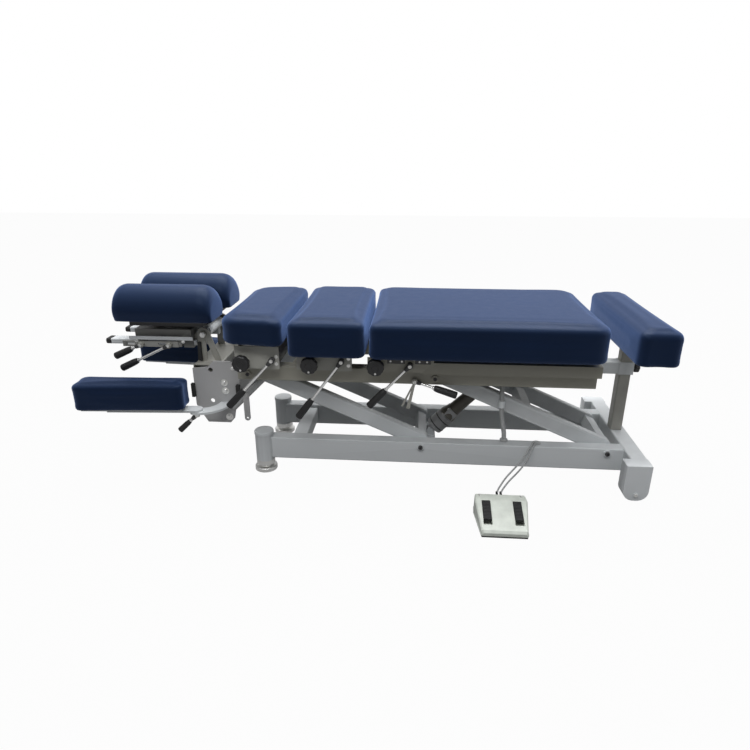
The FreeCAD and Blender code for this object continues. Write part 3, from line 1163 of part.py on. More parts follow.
def arm_cushion(side):
    name = f"{side_name(side)}_arm_cushion"
    bottom = d.arm_bar_top + d.free_gap + d.arm_strip_thickness + d.board_thickness
    shape = cushion_shape(-d.arm_pad_near - d.arm_pad_length, -d.arm_pad_near, d.arm_pad_head_half,
                          d.arm_pad_foot_half, d.arm_pad_corner, d.arm_pad_corner, bottom, d.arm_pad_height,
                          d.arm_edge_round, d.arm_crown)
    return node(name, on_arm(shaped(name, shape), side))


def clamp_lever(side):
    """Threaded hub on the stud below the arm bar, with a short handle that slopes down and outwards."""
    name = f"{side_name(side)}_clamp_lever"
    top = d.arm_bar_top - d.arm_bar_thickness - d.free_gap
    bottom = top - d.clamp_hub_height
    hub = rod(f"{name}_hub", d.clamp_hub_radius, d.clamp_hub_height, (0, 0, bottom))
    bore = rod(f"{name}_bore", d.arm_stud_radius + d.running_clearance, d.clamp_hub_height + 2 * d.overrun,
               (0, 0, bottom - d.overrun))
    arm = lever_arm(name, d.clamp_length, d.clamp_grip_radius, d.clamp_grip_length,
                    (0, 0, top - d.clamp_hub_height / 2), d.clamp_angle, -side * float(d.clamp_splay_angle))
    lever = cut(name, joined(f"{name}_solid", hub, arm), bore)
    return node(name, turned(lever, (d.arm_pivot, side * d.arm_pivot_side, 0), ALONG_Z, 0))


# Ankle rest: a square bar in the chassis guide, a collar at its end and a post that slides in it.

def ankle_bar():
    half = d.ankle_bar_size / 2
    bore_half = d.ankle_post_size / 2 + d.free_gap
    collar_half = bore_half + d.collar_wall
    end = d.ankle_post_middle - collar_half
    bar = tube("ankle_slide", (end - d.ankle_bar_start, d.ankle_bar_size, d.ankle_bar_size),
               (d.ankle_bar_start, -half, d.guide_middle - half), "x")
    collar = block("ankle_collar", (2 * collar_half, 2 * collar_half, d.ankle_bar_size),
                   (end, -collar_half, d.guide_middle - half))
    bore = block("ankle_collar_bore", (2 * bore_half, 2 * bore_half, d.ankle_bar_size + 2 * d.overrun),
                 (d.ankle_post_middle - bore_half, -bore_half, d.guide_middle - half - d.overrun))
    hole = rod("ankle_knob_hole", d.knob_stud_radius + d.running_clearance, d.collar_wall + 2 * d.overrun,
               (d.ankle_post_middle + bore_half - d.overrun, 0, d.guide_middle), "x")
    return node("ankle_bar", cut("ankle_bar_body", joined("ankle_bar_weldment", bar, collar), bore, hole))


def ankle_post():
    half = d.ankle_post_size / 2
    top = d.ankle_bottom - d.board_thickness
    post = tube("ankle_upright", (d.ankle_post_size, d.ankle_post_size, top - d.ankle_post_bottom),
                (d.ankle_post_middle - half, -half, d.ankle_post_bottom), "z")
    length = d.ankle_foot - d.ankle_head - 2 * d.ankle_board_inset
    panel = block("ankle_board", (length, 2 * d.ankle_board_half, d.board_thickness),
                  (d.ankle_head + d.ankle_board_inset, -d.ankle_board_half, top))
    return node("ankle_post", joined("ankle_post_body", post, panel))


def ankle_knob():
    face = d.ankle_post_middle + d.ankle_post_size / 2 + d.free_gap + d.collar_wall
    grip = rod("ankle_knob_grip", d.ankle_knob_radius, d.ankle_knob_height,
               (face + d.ankle_knob_stand_off, 0, d.guide_middle), "x")
    grip = rounded("ankle_knob_round", grip, d.ankle_knob_edge, is_rim)
    hub = rod("ankle_knob_neck", d.ankle_knob_hub, d.ankle_knob_stand_off - d.free_gap,
              (face + d.free_gap, 0, d.guide_middle), "x")
    stud = rod("ankle_knob_stud", d.knob_stud_radius, d.collar_wall + d.free_gap,
               (face - d.collar_wall, 0, d.guide_middle), "x")
    return node("ankle_knob", joined("ankle_knob_body", grip, hub, stud))


# Foot pedal on the floor: a wedge housing with two sprung rockers, and its cords to the near rail.

pedal_back = d.pedal_depth / 2 - d.pedal_side
pedal_slope = math.degrees(math.atan2(float(d.pedal_back_height - d.pedal_front_height),
                                      float(d.pedal_depth - d.pedal_top_depth)))


def pedal_profile(name, wall, bottom, width):
    """Wedge body drawn from the side, its walls drawn in by a wall thickness."""
    back, front = pedal_back - wall, pedal_back - d.pedal_depth + wall
    fold = pedal_back - d.pedal_top_depth
    corners = ((back, bottom), (back, d.pedal_back_height - wall), (fold, d.pedal_back_height - wall),
               (front, d.pedal_front_height - wall), (front, bottom))
    body = padded_profile(name, "YZ_Plane", corners, width)
    seat(body, (d.pedal_place, 0, 0))
    return body


def on_slope(item, offset):
    """Sets a piece drawn along -Y from the fold down onto the pedal's sloping face."""
    place = (d.pedal_place + offset, pedal_back - d.pedal_top_depth, d.pedal_back_height)
    return turned(item, place, ALONG_X, pedal_slope)


rocker_pin_along = d.rocker_from_fold + d.rocker_length / 2
rocker_pin_half = d.rocker_width / 2 + d.rocker_gap + d.rocker_ear_thickness


def rocker_ears(name, offset):
    """Two ears under the top wall that carry one rocker's pin, and the bore through them."""
    ear_top = d.rocker_ear_depth - d.pedal_wall / 2
    ears = []
    for side in SIDES:
        start = across(side, d.rocker_width / 2 + d.rocker_gap, d.rocker_ear_thickness)
        ear = block(f"{name}_ear_{side_name(side)}", (d.rocker_ear_thickness, d.rocker_ear_length, ear_top),
                    (start, -rocker_pin_along - d.rocker_ear_length / 2, -d.rocker_ear_depth))
        ears.append(on_slope(ear, offset))
    bore = rod(f"{name}_bore", d.rocker_pin_radius + d.running_clearance, 2 * rocker_pin_half + 2 * d.running_clearance,
               (-rocker_pin_half - d.running_clearance, -rocker_pin_along, -d.rocker_pin_depth), "x")
    return ears, on_slope(bore, offset)


def pedal_housing():
    """Moulded wedge on a flat sole, with a slot for each rocker and two cord glands at its back."""
    skin = pedal_profile("pedal_skin", 0, 0, d.pedal_width)
    hollow = pedal_profile("pedal_hollow", d.pedal_wall, d.pedal_sole_height, d.pedal_width - 2 * d.pedal_wall)
    gap = d.rocker_gap
    slot_size = (d.rocker_width + 2 * gap, d.rocker_length + 2 * gap, 2 * d.rocker_height)
    slot_at = (-d.rocker_width / 2 - gap, -d.rocker_from_fold - d.rocker_length - gap, -d.rocker_height)
    slots = [on_slope(block(f"rocker_slot_{number}", slot_size, slot_at), offset)
             for number, offset in enumerate((-d.rocker_offset, d.rocker_offset), start=1)]
    parts = [cut("pedal_shell", skin, hollow, *slots)]
    for number, offset in enumerate((-d.gland_spread, d.gland_spread), start=1):
        parts.append(rod(f"pedal_gland_{number}", d.gland_radius, d.gland_length + d.pedal_wall,
                         (d.pedal_place + offset, pedal_back - d.pedal_wall, d.gland_height), "y"))
    bores = []
    for number, offset in enumerate((-d.rocker_offset, d.rocker_offset), start=1):
        ears, bore = rocker_ears(f"rocker_{number}", offset)
        parts += ears
        bores.append(bore)
    return node("pedal_housing", cut("pedal_housing_body", joined("pedal_housing_solid", *parts), *bores))


def rocker(side):
    name = "left_rocker" if side < 0 else "right_rocker"
    bar = block(f"{name}_bar", (d.rocker_width, d.rocker_length, d.rocker_height),
                (-d.rocker_width / 2, -d.rocker_from_fold - d.rocker_length, d.rocker_proud - d.rocker_height))
    top_rounded = rounded(f"{name}_round", bar, d.rocker_proud / 2, lies_at(d.rocker_proud))
    pin = rod(f"{name}_pin", d.rocker_pin_radius, 2 * rocker_pin_half,
              (-rocker_pin_half, -rocker_pin_along, -d.rocker_pin_depth), "x")
    return node(name, on_slope(joined(f"{name}_body", top_rounded, pin), side * d.rocker_offset))


ARC_REACH_SHARE = 0.45
LEFT_CORD = (
    (172, -345, 44), (172.3, -333, 44.4), (177, -315, 45.5), (189, -292, 50), (207, -262, 58), (231, -233, 68),
    (254, -209, 80), (272, -191, 95), (285, -180, 112), (295, -172, 126), (303.5, -160.5, 134.5),
    (310.8, -149.8, 135.4), (318.8, -140.8, 131.5))
RIGHT_CORD = (
    (184, -345, 44), (184.4, -333, 44.2), (190, -316, 45), (203, -294, 49), (222, -266, 55), (246, -239, 63),
    (268, -215, 75), (284, -197, 91), (295, -183, 109), (304, -173.5, 125.5), (312.3, -162.3, 134),
    (319.6, -151.2, 135), (327.2, -141.2, 131.5))
LOWER_CONDUIT = (
    (213, -131, 136.3), (213, -131, 152), (208, -130.8, 178), (202, -130.8, 207), (196.5, -131, 236),
    (196.5, -131, 254))
UPPER_CONDUIT = ((195.6, -131, 278.6), (195.6, -131, 296), (193, -131, 317), (193, -131, 333.7))


def route_tube(name, radius, places):
    """Round cord along straight runs joined by tangent arcs, each as large as its runs allow."""
    points = [point(*place) for place in places]
    edges, radii = [], []
    last = points[0]
    for before, here, after in zip(points, points[1:], points[2:]):
        arriving, leaving = here - before, after - here
        reach = ARC_REACH_SHARE * min(arriving.Length, leaving.Length)
        half_turn = arriving.getAngle(leaving) / 2
        bend = reach / math.tan(half_turn)
        arriving.normalize()
        leaving.normalize()
        inward = (leaving - arriving).normalize()
        start, end = here - arriving * reach, here + leaving * reach
        middle = here + inward * (bend / math.cos(half_turn) - bend)
        edges.append(Part.LineSegment(last, start).toShape())
        edges.append(Part.Arc(start, middle, end).toShape())
        radii.append(bend)
        last = end
    edges.append(Part.LineSegment(last, points[-1]).toShape())
    spine = Part.Wire(edges)
    ring = Part.Wire([Part.makeCircle(float(radius), points[0], points[1] - points[0])])
    solid = spine.makePipeShell([ring], True, True)
    expected = math.pi * float(radius) ** 2 * spine.Length
    print(f"{name}: length {spine.Length:.0f}, radii {', '.join(f'{bend:.0f}' for bend in radii)}, "
          f"volume {solid.Volume:.0f} of {expected:.0f}")
    return node(name, shaped(name, solid))


def cable_glands():
    """Grommet and conduit gland on top of the near base rail."""
    grommet = rod("cord_grommet", d.grommet_radius, d.grommet_height,
                  (d.grommet_place, -d.grommet_side, d.rail_top))
    gland = rod("conduit_base_gland", d.conduit_gland_radius, d.conduit_gland_height,
                (d.conduit_foot, -d.conduit_side, d.rail_top))
    return node("cable_glands", group("cable_glands_set", grommet, gland))


def build_base_and_lift():
    foot_beam()
    levelling_feet()
    base_bolts()
    base_cross_members()
    link = d.link_tube_size
    arm_pair("foot_arms", d.foot_pivot, ((0, link), (d.middle_tube_along, link), (d.push_tube_along, link)),
             *push_lugs(), *conduit_clip())
    arm_pair("head_arms", d.head_pivot, ((0, d.sleeve_size), (d.arm_length, d.sleeve_size)))
    actuator_motor()
    actuator_rod()


def build_head():
    hanging_link()
    head_bracket()
    head_rails()
    head_carriage()
    head_plate()
    slot_face = d.slot_bar_inner + d.slot_bar_thickness
    side_lever("carriage_lever", d.carriage_lever, slot_bar_middle, slot_face, d.slot_bar_thickness,
               d.carriage_lever_length, d.carriage_lever_angle, d.head_grip_length)
    side_lever("drop_lever", d.drop_lever, slot_bar_middle, slot_face, d.slot_bar_thickness,
               d.drop_lever_length, d.drop_lever_angle, d.head_grip_length)


def build_sections():
    cushions()
    for name in BOARDS:
        board(name)
    carrier("upper_chest", d.upper_carrier_head, d.upper_carrier_foot, d.upper_chest_rise,
            side_holes("upper_chest", d.upper_knob, d.upper_lever, d.upper_lever_height))
    carrier("lower_chest", d.lower_carrier_head, d.lower_carrier_foot, 0,
            side_holes("lower_chest", d.lower_knob, d.lower_lever, d.lower_lever_height))
    pelvic_subframe()
    tension_knob("upper_chest", d.upper_knob)
    tension_knob("lower_chest", d.lower_knob)
    tension_knob("pelvic", d.pelvic_knob)
    levers = {
        "upper_chest_lever": (d.upper_lever, d.upper_lever_height, d.upper_lever_length, d.upper_lever_angle),
        "lower_chest_lever": (d.lower_lever, d.lower_lever_height, d.lower_lever_length, d.lower_lever_angle),
        "pelvic_lever": (d.pelvic_lever, d.pelvic_lever_height, d.pelvic_lever_length, d.pelvic_lever_angle),
    }
    for name, (place, level, length, slope) in levers.items():
        side_lever(name, place, level, d.carrier_outer, d.carrier_plate, length, slope)
    release_lever()


def build():
    for side in SIDES:
        base_rail(side)
        wheel(side)
        side_plate(side)
        head_pad(side)
        arm_strip(side)
        arm_cushion(side)
        clamp_lever(side)
        rocker(side)
    node("arm_bars", group("arm_bars_pair", arm_bar(NEAR), arm_bar(FAR)))
    build_base_and_lift()
    chassis_frame()
    chassis_bolts()
    build_head()
    build_sections()
    ankle_bar()
    ankle_post()
    ankle_knob()
    pedal_housing()
    cable_glands()
    route_tube("left_pedal_cord", d.cable_radius, LEFT_CORD)
    route_tube("right_pedal_cord", d.cable_radius, RIGHT_CORD)
    route_tube("lower_conduit", d.conduit_radius, LOWER_CONDUIT)
    route_tube("upper_conduit", d.conduit_radius, UPPER_CONDUIT)


def check_and_write():
    document.recompute()
    for item in document.Objects:
        if "Invalid" in item.State or "Error" in item.State:
            raise RuntimeError(f"{item.Name} failed: {item.State}")
    for item in nodes:
        if item.Shape.isNull() or not item.Shape.isValid():
            raise RuntimeError(f"{item.Label} has no valid shape")
    os.makedirs("parts", exist_ok=True)
    for item in nodes:
        item.Shape.exportStep(f"parts/{item.Label}.step")
    print(f"{len(nodes)} nodes written")


build()
check_and_write()
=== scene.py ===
"""Dresses the treatment table: upholstery, grips, knobs, fasteners, cords and the stage."""

import math

import bmesh
import bpy
import numpy as np
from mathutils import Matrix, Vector


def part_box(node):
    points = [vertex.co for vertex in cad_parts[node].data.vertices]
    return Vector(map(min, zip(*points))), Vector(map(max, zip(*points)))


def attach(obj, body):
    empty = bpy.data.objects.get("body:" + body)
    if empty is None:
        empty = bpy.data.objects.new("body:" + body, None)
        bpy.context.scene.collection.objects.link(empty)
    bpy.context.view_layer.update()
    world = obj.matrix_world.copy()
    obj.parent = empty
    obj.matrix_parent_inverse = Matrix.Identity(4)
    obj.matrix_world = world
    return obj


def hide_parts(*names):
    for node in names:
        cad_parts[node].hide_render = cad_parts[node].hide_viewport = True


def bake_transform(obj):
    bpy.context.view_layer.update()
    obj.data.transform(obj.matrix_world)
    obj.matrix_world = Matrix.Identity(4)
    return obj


bl_info = {
    "name": "Treatment table",
    "version": (1, 0, 0),
    "blender": (4, 5, 0),
    "location": "3D View > Sidebar > Table",
    "description": "Builds the upholstery, controls, fasteners and finishes of a treatment table",
    "category": "Object",
}

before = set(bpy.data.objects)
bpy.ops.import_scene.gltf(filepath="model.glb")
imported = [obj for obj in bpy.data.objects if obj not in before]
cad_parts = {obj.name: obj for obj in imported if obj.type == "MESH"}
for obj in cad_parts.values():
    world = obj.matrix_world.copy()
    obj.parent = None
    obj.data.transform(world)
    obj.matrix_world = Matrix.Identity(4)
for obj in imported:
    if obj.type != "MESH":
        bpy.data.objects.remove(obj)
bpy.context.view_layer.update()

X_AXIS = Vector((1, 0, 0))
Y_AXIS = Vector((0, 1, 0))
Z_AXIS = Vector((0, 0, 1))
NEAR_SIDE = -1
FAR_SIDE = 1
SIDE_NAMES = {NEAR_SIDE: "near", FAR_SIDE: "far"}
made = {}


# Finishes

SHADE_STOPS = (0.3, 0.7)
WORN_STOPS = (0.53, 0.60)


def scaled(colour, factor):
    """The colour times a factor."""
    return tuple(part * factor for part in colour)


class Finish:
    """A procedural material whose nodes are added one by one."""

    def __init__(self, name, colour, roughness, metallic=0.0):
        self.material = bpy.data.materials.new(name)
        self.material.use_nodes = True
        self.material.diffuse_color = (*colour, 1)
        self.nodes = self.material.node_tree.nodes
        self.links = self.material.node_tree.links
        self.shader = self.nodes["Principled BSDF"]
        self.shader.inputs["Base Color"].default_value = (*colour, 1)
        self.shader.inputs["Roughness"].default_value = roughness
        self.shader.inputs["Metallic"].default_value = metallic
        self.colour = colour
        self.place = self.nodes.new("ShaderNodeTexCoord").outputs["Object"]
        self.normal = None

    def add(self, kind, **inputs):
        item = self.nodes.new(kind)
        for name, value in inputs.items():
            socket = item.inputs[name.replace("_", " ")]
            if isinstance(value, bpy.types.NodeSocket):
                self.links.new(value, socket)
            else:
                socket.default_value = value
        return item

    def noise(self, scale, detail, stretch=None):
        place = self.place
        if stretch:
            mapping = self.add("ShaderNodeMapping", Vector=self.place)
            mapping.inputs["Scale"].default_value = stretch
            place = mapping.outputs["Vector"]
        texture = self.add("ShaderNodeTexNoise", Vector=place, Scale=scale, Detail=detail)
        return texture.outputs["Fac"]

    def cells(self, scale):
        """Distance to the nearest cell wall, for a leather-like or cast grain."""
        item = self.add("ShaderNodeTexVoronoi", Vector=self.place, Scale=scale)
        item.feature = "DISTANCE_TO_EDGE"
        return item.outputs["Distance"]

    def ramp(self, value, stops):
        """Colour that runs between two stops, each a position and a colour."""
        item = self.add("ShaderNodeValToRGB", Fac=value)
        for stop, (position, colour) in zip(item.color_ramp.elements, stops):
            stop.position = position
            stop.color = (*colour, 1)
        return item.outputs["Color"]

    def shades(self, value, dark, light):
        """Varies the colour between a darker and a lighter multiple of itself."""
        low, high = SHADE_STOPS
        colour = self.ramp(value, ((low, scaled(self.colour, dark)),
                                   (high, scaled(self.colour, light))))
        self.links.new(colour, self.shader.inputs["Base Color"])
        return colour

    def worn_edges(self, base, worn):
        """Lightens the outward edges, where the coat is rubbed thin."""
        low, high = WORN_STOPS
        edge = self.add("ShaderNodeNewGeometry").outputs["Pointiness"]
        mask = self.ramp(edge, ((low, (0, 0, 0)), (high, (1, 1, 1))))
        mix = self.nodes.new("ShaderNodeMix")
        mix.data_type = "RGBA"
        self.links.new(mask, mix.inputs["Factor"])
        self.links.new(base, mix.inputs["A"])
        mix.inputs["B"].default_value = (*worn, 1)
        self.links.new(mix.outputs["Result"], self.shader.inputs["Base Color"])

    def roughness_between(self, value, low, high):
        mapped = self.add("ShaderNodeMapRange", Value=value)
        mapped.inputs["To Min"].default_value = low
        mapped.inputs["To Max"].default_value = high
        self.links.new(mapped.outputs["Result"], self.shader.inputs["Roughness"])

    def bump(self, height, strength, distance):
        """Adds one more layer of relief to those before it."""
        item = self.add("ShaderNodeBump", Height=height, Strength=strength, Distance=distance)
        if self.normal:
            self.links.new(self.normal, item.inputs["Normal"])
        self.normal = item.outputs["Normal"]
        self.links.new(self.normal, self.shader.inputs["Normal"])


VINYL_GLOSS = {
    "Specular IOR Level": 0.16,
    "Specular Tint": (0.50, 0.68, 1.0, 1),
    "Sheen Weight": 0.55,
    "Sheen Roughness": 0.5,
    "Sheen Tint": (0.30, 0.48, 1.0, 1),
}


def vinyl(title, colour):
    finish = Finish(title, colour, 0.42)
    finish.shades(finish.noise(9, 3), 0.92, 1.08)
    finish.roughness_between(finish.noise(40, 5), 0.36, 0.5)
    finish.bump(finish.cells(620), 0.12, 0.0005)
    finish.bump(finish.noise(1500, 3), 0.08, 0.0003)
    finish.bump(finish.noise(7, 2), 0.10, 0.003)
    for name, value in VINYL_GLOSS.items():
        finish.shader.inputs[name].default_value = value
    return finish.material


def powder_coat(name, colour, worn, mottle=0.05):
    finish = Finish(name, colour, 0.42)
    base = finish.shades(finish.noise(22, 6), 1 - mottle, 1 + mottle)
    finish.worn_edges(base, worn)
    finish.roughness_between(finish.noise(60, 4), 0.34, 0.5)
    finish.bump(finish.noise(900, 2), 0.12, 0.0004)
    finish.bump(finish.noise(180, 2), 0.06, 0.0006)
    return finish.material


def plated(name, colour, roughness):
    finish = Finish(name, colour, roughness, 1.0)
    finish.shades(finish.noise(30, 4), 0.94, 1.04)
    finish.roughness_between(finish.noise(120, 6, (1, 1, 9)), roughness * 0.7, roughness * 1.7)
    finish.bump(finish.noise(1400, 2, (1, 1, 6)), 0.04, 0.0002)
    return finish.material


def moulded(name, colour, roughness, grain):
    finish = Finish(name, colour, roughness)
    finish.shades(finish.noise(30, 5), 0.9, 1.1)
    finish.roughness_between(finish.noise(90, 4), roughness * 0.85, roughness * 1.15)
    finish.bump(finish.cells(900), grain, 0.0004)
    finish.bump(finish.noise(700, 3), grain, 0.0004)
    return finish.material


def stained_board(name, colour):
    finish = Finish(name, colour, 0.6)
    finish.shades(finish.noise(14, 8, (1, 12, 12)), 0.7, 1.25)
    finish.bump(finish.noise(60, 6, (1, 10, 10)), 0.2, 0.0006)
    return finish.material


class TableColours(bpy.types.PropertyGroup):
    vinyl: bpy.props.FloatVectorProperty(
        name="Vinyl", description="Upholstery colour", subtype="COLOR", size=3,
        default=(0.0030, 0.0088, 0.028))
    coat: bpy.props.FloatVectorProperty(
        name="Coat", description="Powder coat of the steel frame", subtype="COLOR", size=3,
        default=(0.60, 0.625, 0.635))
    # Bracket colour: an olive tint, darkened to about 0.6 of the frame coat as painted shade for
    # the carriers in the shade under the cushions
    bracket: bpy.props.FloatVectorProperty(
        name="Bracket coat", description="Darker coat of the head brackets and carriers",
        subtype="COLOR", size=3, default=(0.36, 0.355, 0.32))
    pedal: bpy.props.FloatVectorProperty(
        name="Pedal", description="Pedal housing plastic", subtype="COLOR", size=3,
        default=(0.62, 0.66, 0.60))
    cord: bpy.props.FloatVectorProperty(
        name="Cord", description="Cord sheath", subtype="COLOR", size=3,
        default=(0.42, 0.43, 0.43))


class TableSizes(bpy.types.PropertyGroup):
    lens: bpy.props.FloatProperty(
        name="Lens", description="Focal length of the studio camera",
        subtype="DISTANCE_CAMERA", default=27.6)
    tread_pitch: bpy.props.FloatProperty(
        name="Tread pitch", description="Distance between the ribs of a pedal's tread",
        subtype="DISTANCE", unit="LENGTH", default=0.0054)
    cloth_pressure: bpy.props.FloatProperty(
        name="Pressure", description="Inner pressure that swells the cushions", default=4.0)
    cloth_limit: bpy.props.FloatProperty(
        name="Swell limit", description="Farthest that a point of a cushion may swell",
        subtype="DISTANCE", unit="LENGTH", default=0.004)


# key, material, colour, colour of worn edges, mottle
COATS = (
    # Chassis coat: a beige tint, darkened to about half the frame coat's brightness as painted
    # shade for the shade under the cushions
    ("cream_and_shade", "cream_coat_and_painted_shade", (0.30, 0.29, 0.235), (0.40, 0.39, 0.33), 0.07),
    ("zinc", "plate_coat", (0.41, 0.42, 0.425), (0.5, 0.5, 0.5), 0.16),
    ("black_steel", "black_steel", (0.035, 0.036, 0.038), (0.10, 0.10, 0.10), 0.15),
    ("tube", "tube_coat", (0.11, 0.10, 0.082), (0.18, 0.17, 0.15), 0.12),
    ("pan", "pan_coat", (0.17, 0.17, 0.16), (0.36, 0.36, 0.34), 0.15),
)
# key, material, colour, roughness, grain
MOULDINGS = (
    ("grip", "black_grip", (0.012, 0.012, 0.013), 0.42, 0.14),
    ("knob", "black_knob", (0.016, 0.016, 0.017), 0.38, 0.14),
    ("rubber", "black_rubber", (0.022, 0.022, 0.022), 0.75, 0.3),
    ("tyre", "wheel_rubber", (0.10, 0.10, 0.10), 0.7, 0.25),
    ("motor", "motor_case", (0.40, 0.405, 0.41), 0.45, 0.14),
    ("rocker", "rocker_pad", (0.007, 0.008, 0.009), 0.6, 0.2),
)


def finishes():
    """Makes each material once."""
    if made:
        return made
    colours = bpy.context.scene.table_colours
    coat = tuple(colours.coat)
    made["vinyl"] = vinyl("navy_vinyl", tuple(colours.vinyl))
    made["coat"] = powder_coat("grey_powder_coat", coat, scaled(coat, 1.25))
    # Bracket coat: olive tint, darkened as painted shade for the carriers under the cushions
    made["bracket"] = powder_coat("bracket_coat_and_painted_shade", tuple(colours.bracket), (0.42, 0.42, 0.38), 0.10)
    made["weld"] = powder_coat("weld_coat", scaled(coat, 0.9), coat, 0.12)
    for key, name, colour, worn, mottle in COATS:
        made[key] = powder_coat(name, colour, worn, mottle)
    made["chrome"] = plated("chrome_steel", (0.95, 0.95, 0.94), 0.20)
    made["bolt"] = plated("zinc_bolt", (0.82, 0.82, 0.80), 0.34)
    for key, name, colour, roughness, grain in MOULDINGS:
        made[key] = moulded(name, colour, roughness, grain)
    made["pedal"] = moulded("pedal_case", tuple(colours.pedal), 0.45, 0.10)
    made["cord"] = moulded("cord_sheath", tuple(colours.cord), 0.45, 0.06)
    made["board"] = stained_board("board_stain", (0.05, 0.045, 0.04))
    return made


# Mesh makers

CRISP_ANGLE = math.radians(38)
BEVEL_ANGLE = math.radians(35)


def linked(name, data):
    """A new object in the scene, at the frame's origin."""
    item = bpy.data.objects.new(name, data)
    bpy.context.scene.collection.objects.link(item)
    return item


def closed_mesh(name, vertices, faces):
    """A mesh whose faces all look outwards."""
    mesh = bpy.data.meshes.new(name)
    mesh.from_pydata([tuple(vertex) for vertex in vertices], [], faces)
    shape = bmesh.new()
    shape.from_mesh(mesh)
    bmesh.ops.recalc_face_normals(shape, faces=shape.faces)
    shape.to_mesh(mesh)
    shape.free()
    return mesh


def painted(mesh, finish):
    """Gives a mesh one finish only."""
    mesh.materials.clear()
    mesh.materials.append(finishes()[finish])


def piece(name, vertices, faces, finish, body, smooth=True):
    """A mesh piece in place, with its finish, that rides on a body."""
    mesh = closed_mesh(name, vertices, faces)
    for polygon in mesh.polygons:
        polygon.use_smooth = smooth
    painted(mesh, finish)
    item = linked(name, mesh)
    if smooth:
        sharp_edges(item)
    if body:
        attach(item, body)
    return item


def sharp_edges(item):
    """Marks the edges that stay crisp under smooth shading."""
    shape = bmesh.new()
    shape.from_mesh(item.data)
    for edge in shape.edges:
        if len(edge.link_faces) == 2 and edge.calc_face_angle(0) > CRISP_ANGLE:
            edge.smooth = False
    shape.to_mesh(item.data)
    shape.free()


def bevelled(item, width, segments=2):
    modifier = item.modifiers.new("edge", "BEVEL")
    modifier.width = width
    modifier.segments = segments
    modifier.limit_method = "ANGLE"
    modifier.angle_limit = BEVEL_ANGLE
    return item


def basis(direction):
    """Two unit vectors square to a direction."""
    direction = Vector(direction).normalized()
    helper = Z_AXIS if abs(direction.z) < 0.9 else X_AXIS
    side = direction.cross(helper).normalized()
    return direction, side, side.cross(direction).normalized()


def ring_faces(rings, count):
    """Faces between rings of equal count, the first and last ring closed."""
    faces = []
    for ring in range(rings - 1):
        for number in range(count):
            after = (number + 1) % count
            faces.append((ring * count + number, ring * count + after,
                          (ring + 1) * count + after, (ring + 1) * count + number))
    faces.append(tuple(range(count))[::-1])
    faces.append(tuple((rings - 1) * count + number for number in range(count)))
    return faces


def lathe(start, direction, profile, count, flute=None):
    """Vertices and faces of a turned shape; profile holds (distance along, radius)."""
    along, side, up = basis(direction)
    vertices = []
    for distance, radius in profile:
        for number in range(count):
            angle = 2 * math.pi * number / count
            reach = radius * (flute(angle, distance) if flute else 1)
            vertices.append(Vector(start) + along * distance
                            + (side * math.cos(angle) + up * math.sin(angle)) * reach)
    return vertices, ring_faces(len(profile), count)


def turned(name, start, direction, profile, finish, body, count, flute=None):
    return piece(name, *lathe(start, direction, profile, count, flute), finish, body)


def sweep(points, radius_at, count):
    """A round section carried along points; radius_at gives the radius at a distance."""
    points = [Vector(point) for point in points]
    vertices, travelled = [], 0.0
    side = basis(points[1] - points[0])[1]
    for number, point in enumerate(points):
        before, after = points[max(number - 1, 0)], points[min(number + 1, len(points) - 1)]
        along = (after - before).normalized()
        side = (side - along * side.dot(along)).normalized()
        up = along.cross(side)
        if number:
            travelled += (point - points[number - 1]).length
        radius = radius_at(travelled)
        for step in range(count):
            angle = 2 * math.pi * step / count
            vertices.append(point + (side * math.cos(angle) + up * math.sin(angle)) * radius)
    return vertices, ring_faces(len(points), count)


def straight(start, end, count):
    """Evenly spaced places from one point to another, both ends included."""
    start, end = Vector(start), Vector(end)
    return [start.lerp(end, number / (count - 1)) for number in range(count)]


def box_mesh(low, high):
    """Vertices and faces of a block between two corners."""
    vertices = []
    for level in (low[2], high[2]):
        vertices += [(low[0], low[1], level), (high[0], low[1], level),
                     (high[0], high[1], level), (low[0], high[1], level)]
    return vertices, ring_faces(2, 4)


def slab(name, low, high, finish, body, edge=0.0015):
    """A block between two corners, with eased edges; its sides may be given in either order."""
    low, high = zip(*(sorted(pair) for pair in zip(low, high)))
    return bevelled(piece(name, *box_mesh(low, high), finish, body, False), edge)


def plate_piece(name, outline, thickness, origin, across, up, finish, body, edge=0.0008):
    """A flat plate from an outline in the plane of two directions, thickened both ways."""
    across, up = Vector(across).normalized(), Vector(up).normalized()
    out = across.cross(up)
    count = len(outline)
    vertices = []
    for level in (-thickness / 2, thickness / 2):
        vertices += [Vector(origin) + across * u + up * v + out * level for u, v in outline]
    return bevelled(piece(name, vertices, ring_faces(2, count), finish, body, False), edge)


def hex_bolt(name, centre, normal, radius, body, washer=True):
    """Hexagon head with a turned-down crown, on a washer; centre lies on the seat."""
    height = radius * 0.62
    profile = [(0, radius * 0.94), (height * 0.12, radius), (height * 0.78, radius),
               (height, radius * 0.84), (height, radius * 0.5), (height * 0.9, radius * 0.42),
               (height * 0.9, 0.0002)]
    start = Vector(centre)

    def hexagon(angle, distance):
        turn = (angle % (math.pi / 3)) - math.pi / 6
        full = math.cos(math.pi / 6) / math.cos(turn) * 1.06
        return full if distance < height * 0.85 else 1

    vertices, faces = [], []
    if washer:
        rim = [(0, radius * 1.5), (radius * 0.14, radius * 1.5),
               (radius * 0.18, radius * 1.42), (radius * 0.18, radius * 0.5)]
        vertices, faces = lathe(start, normal, rim, 36)
        start = start + Vector(normal).normalized() * radius * 0.18
    more, more_faces = lathe(start, normal, profile, 36, hexagon)
    offset = len(vertices)
    vertices += more
    faces += [tuple(index + offset for index in face) for face in more_faces]
    return piece(name, vertices, faces, "bolt", body)


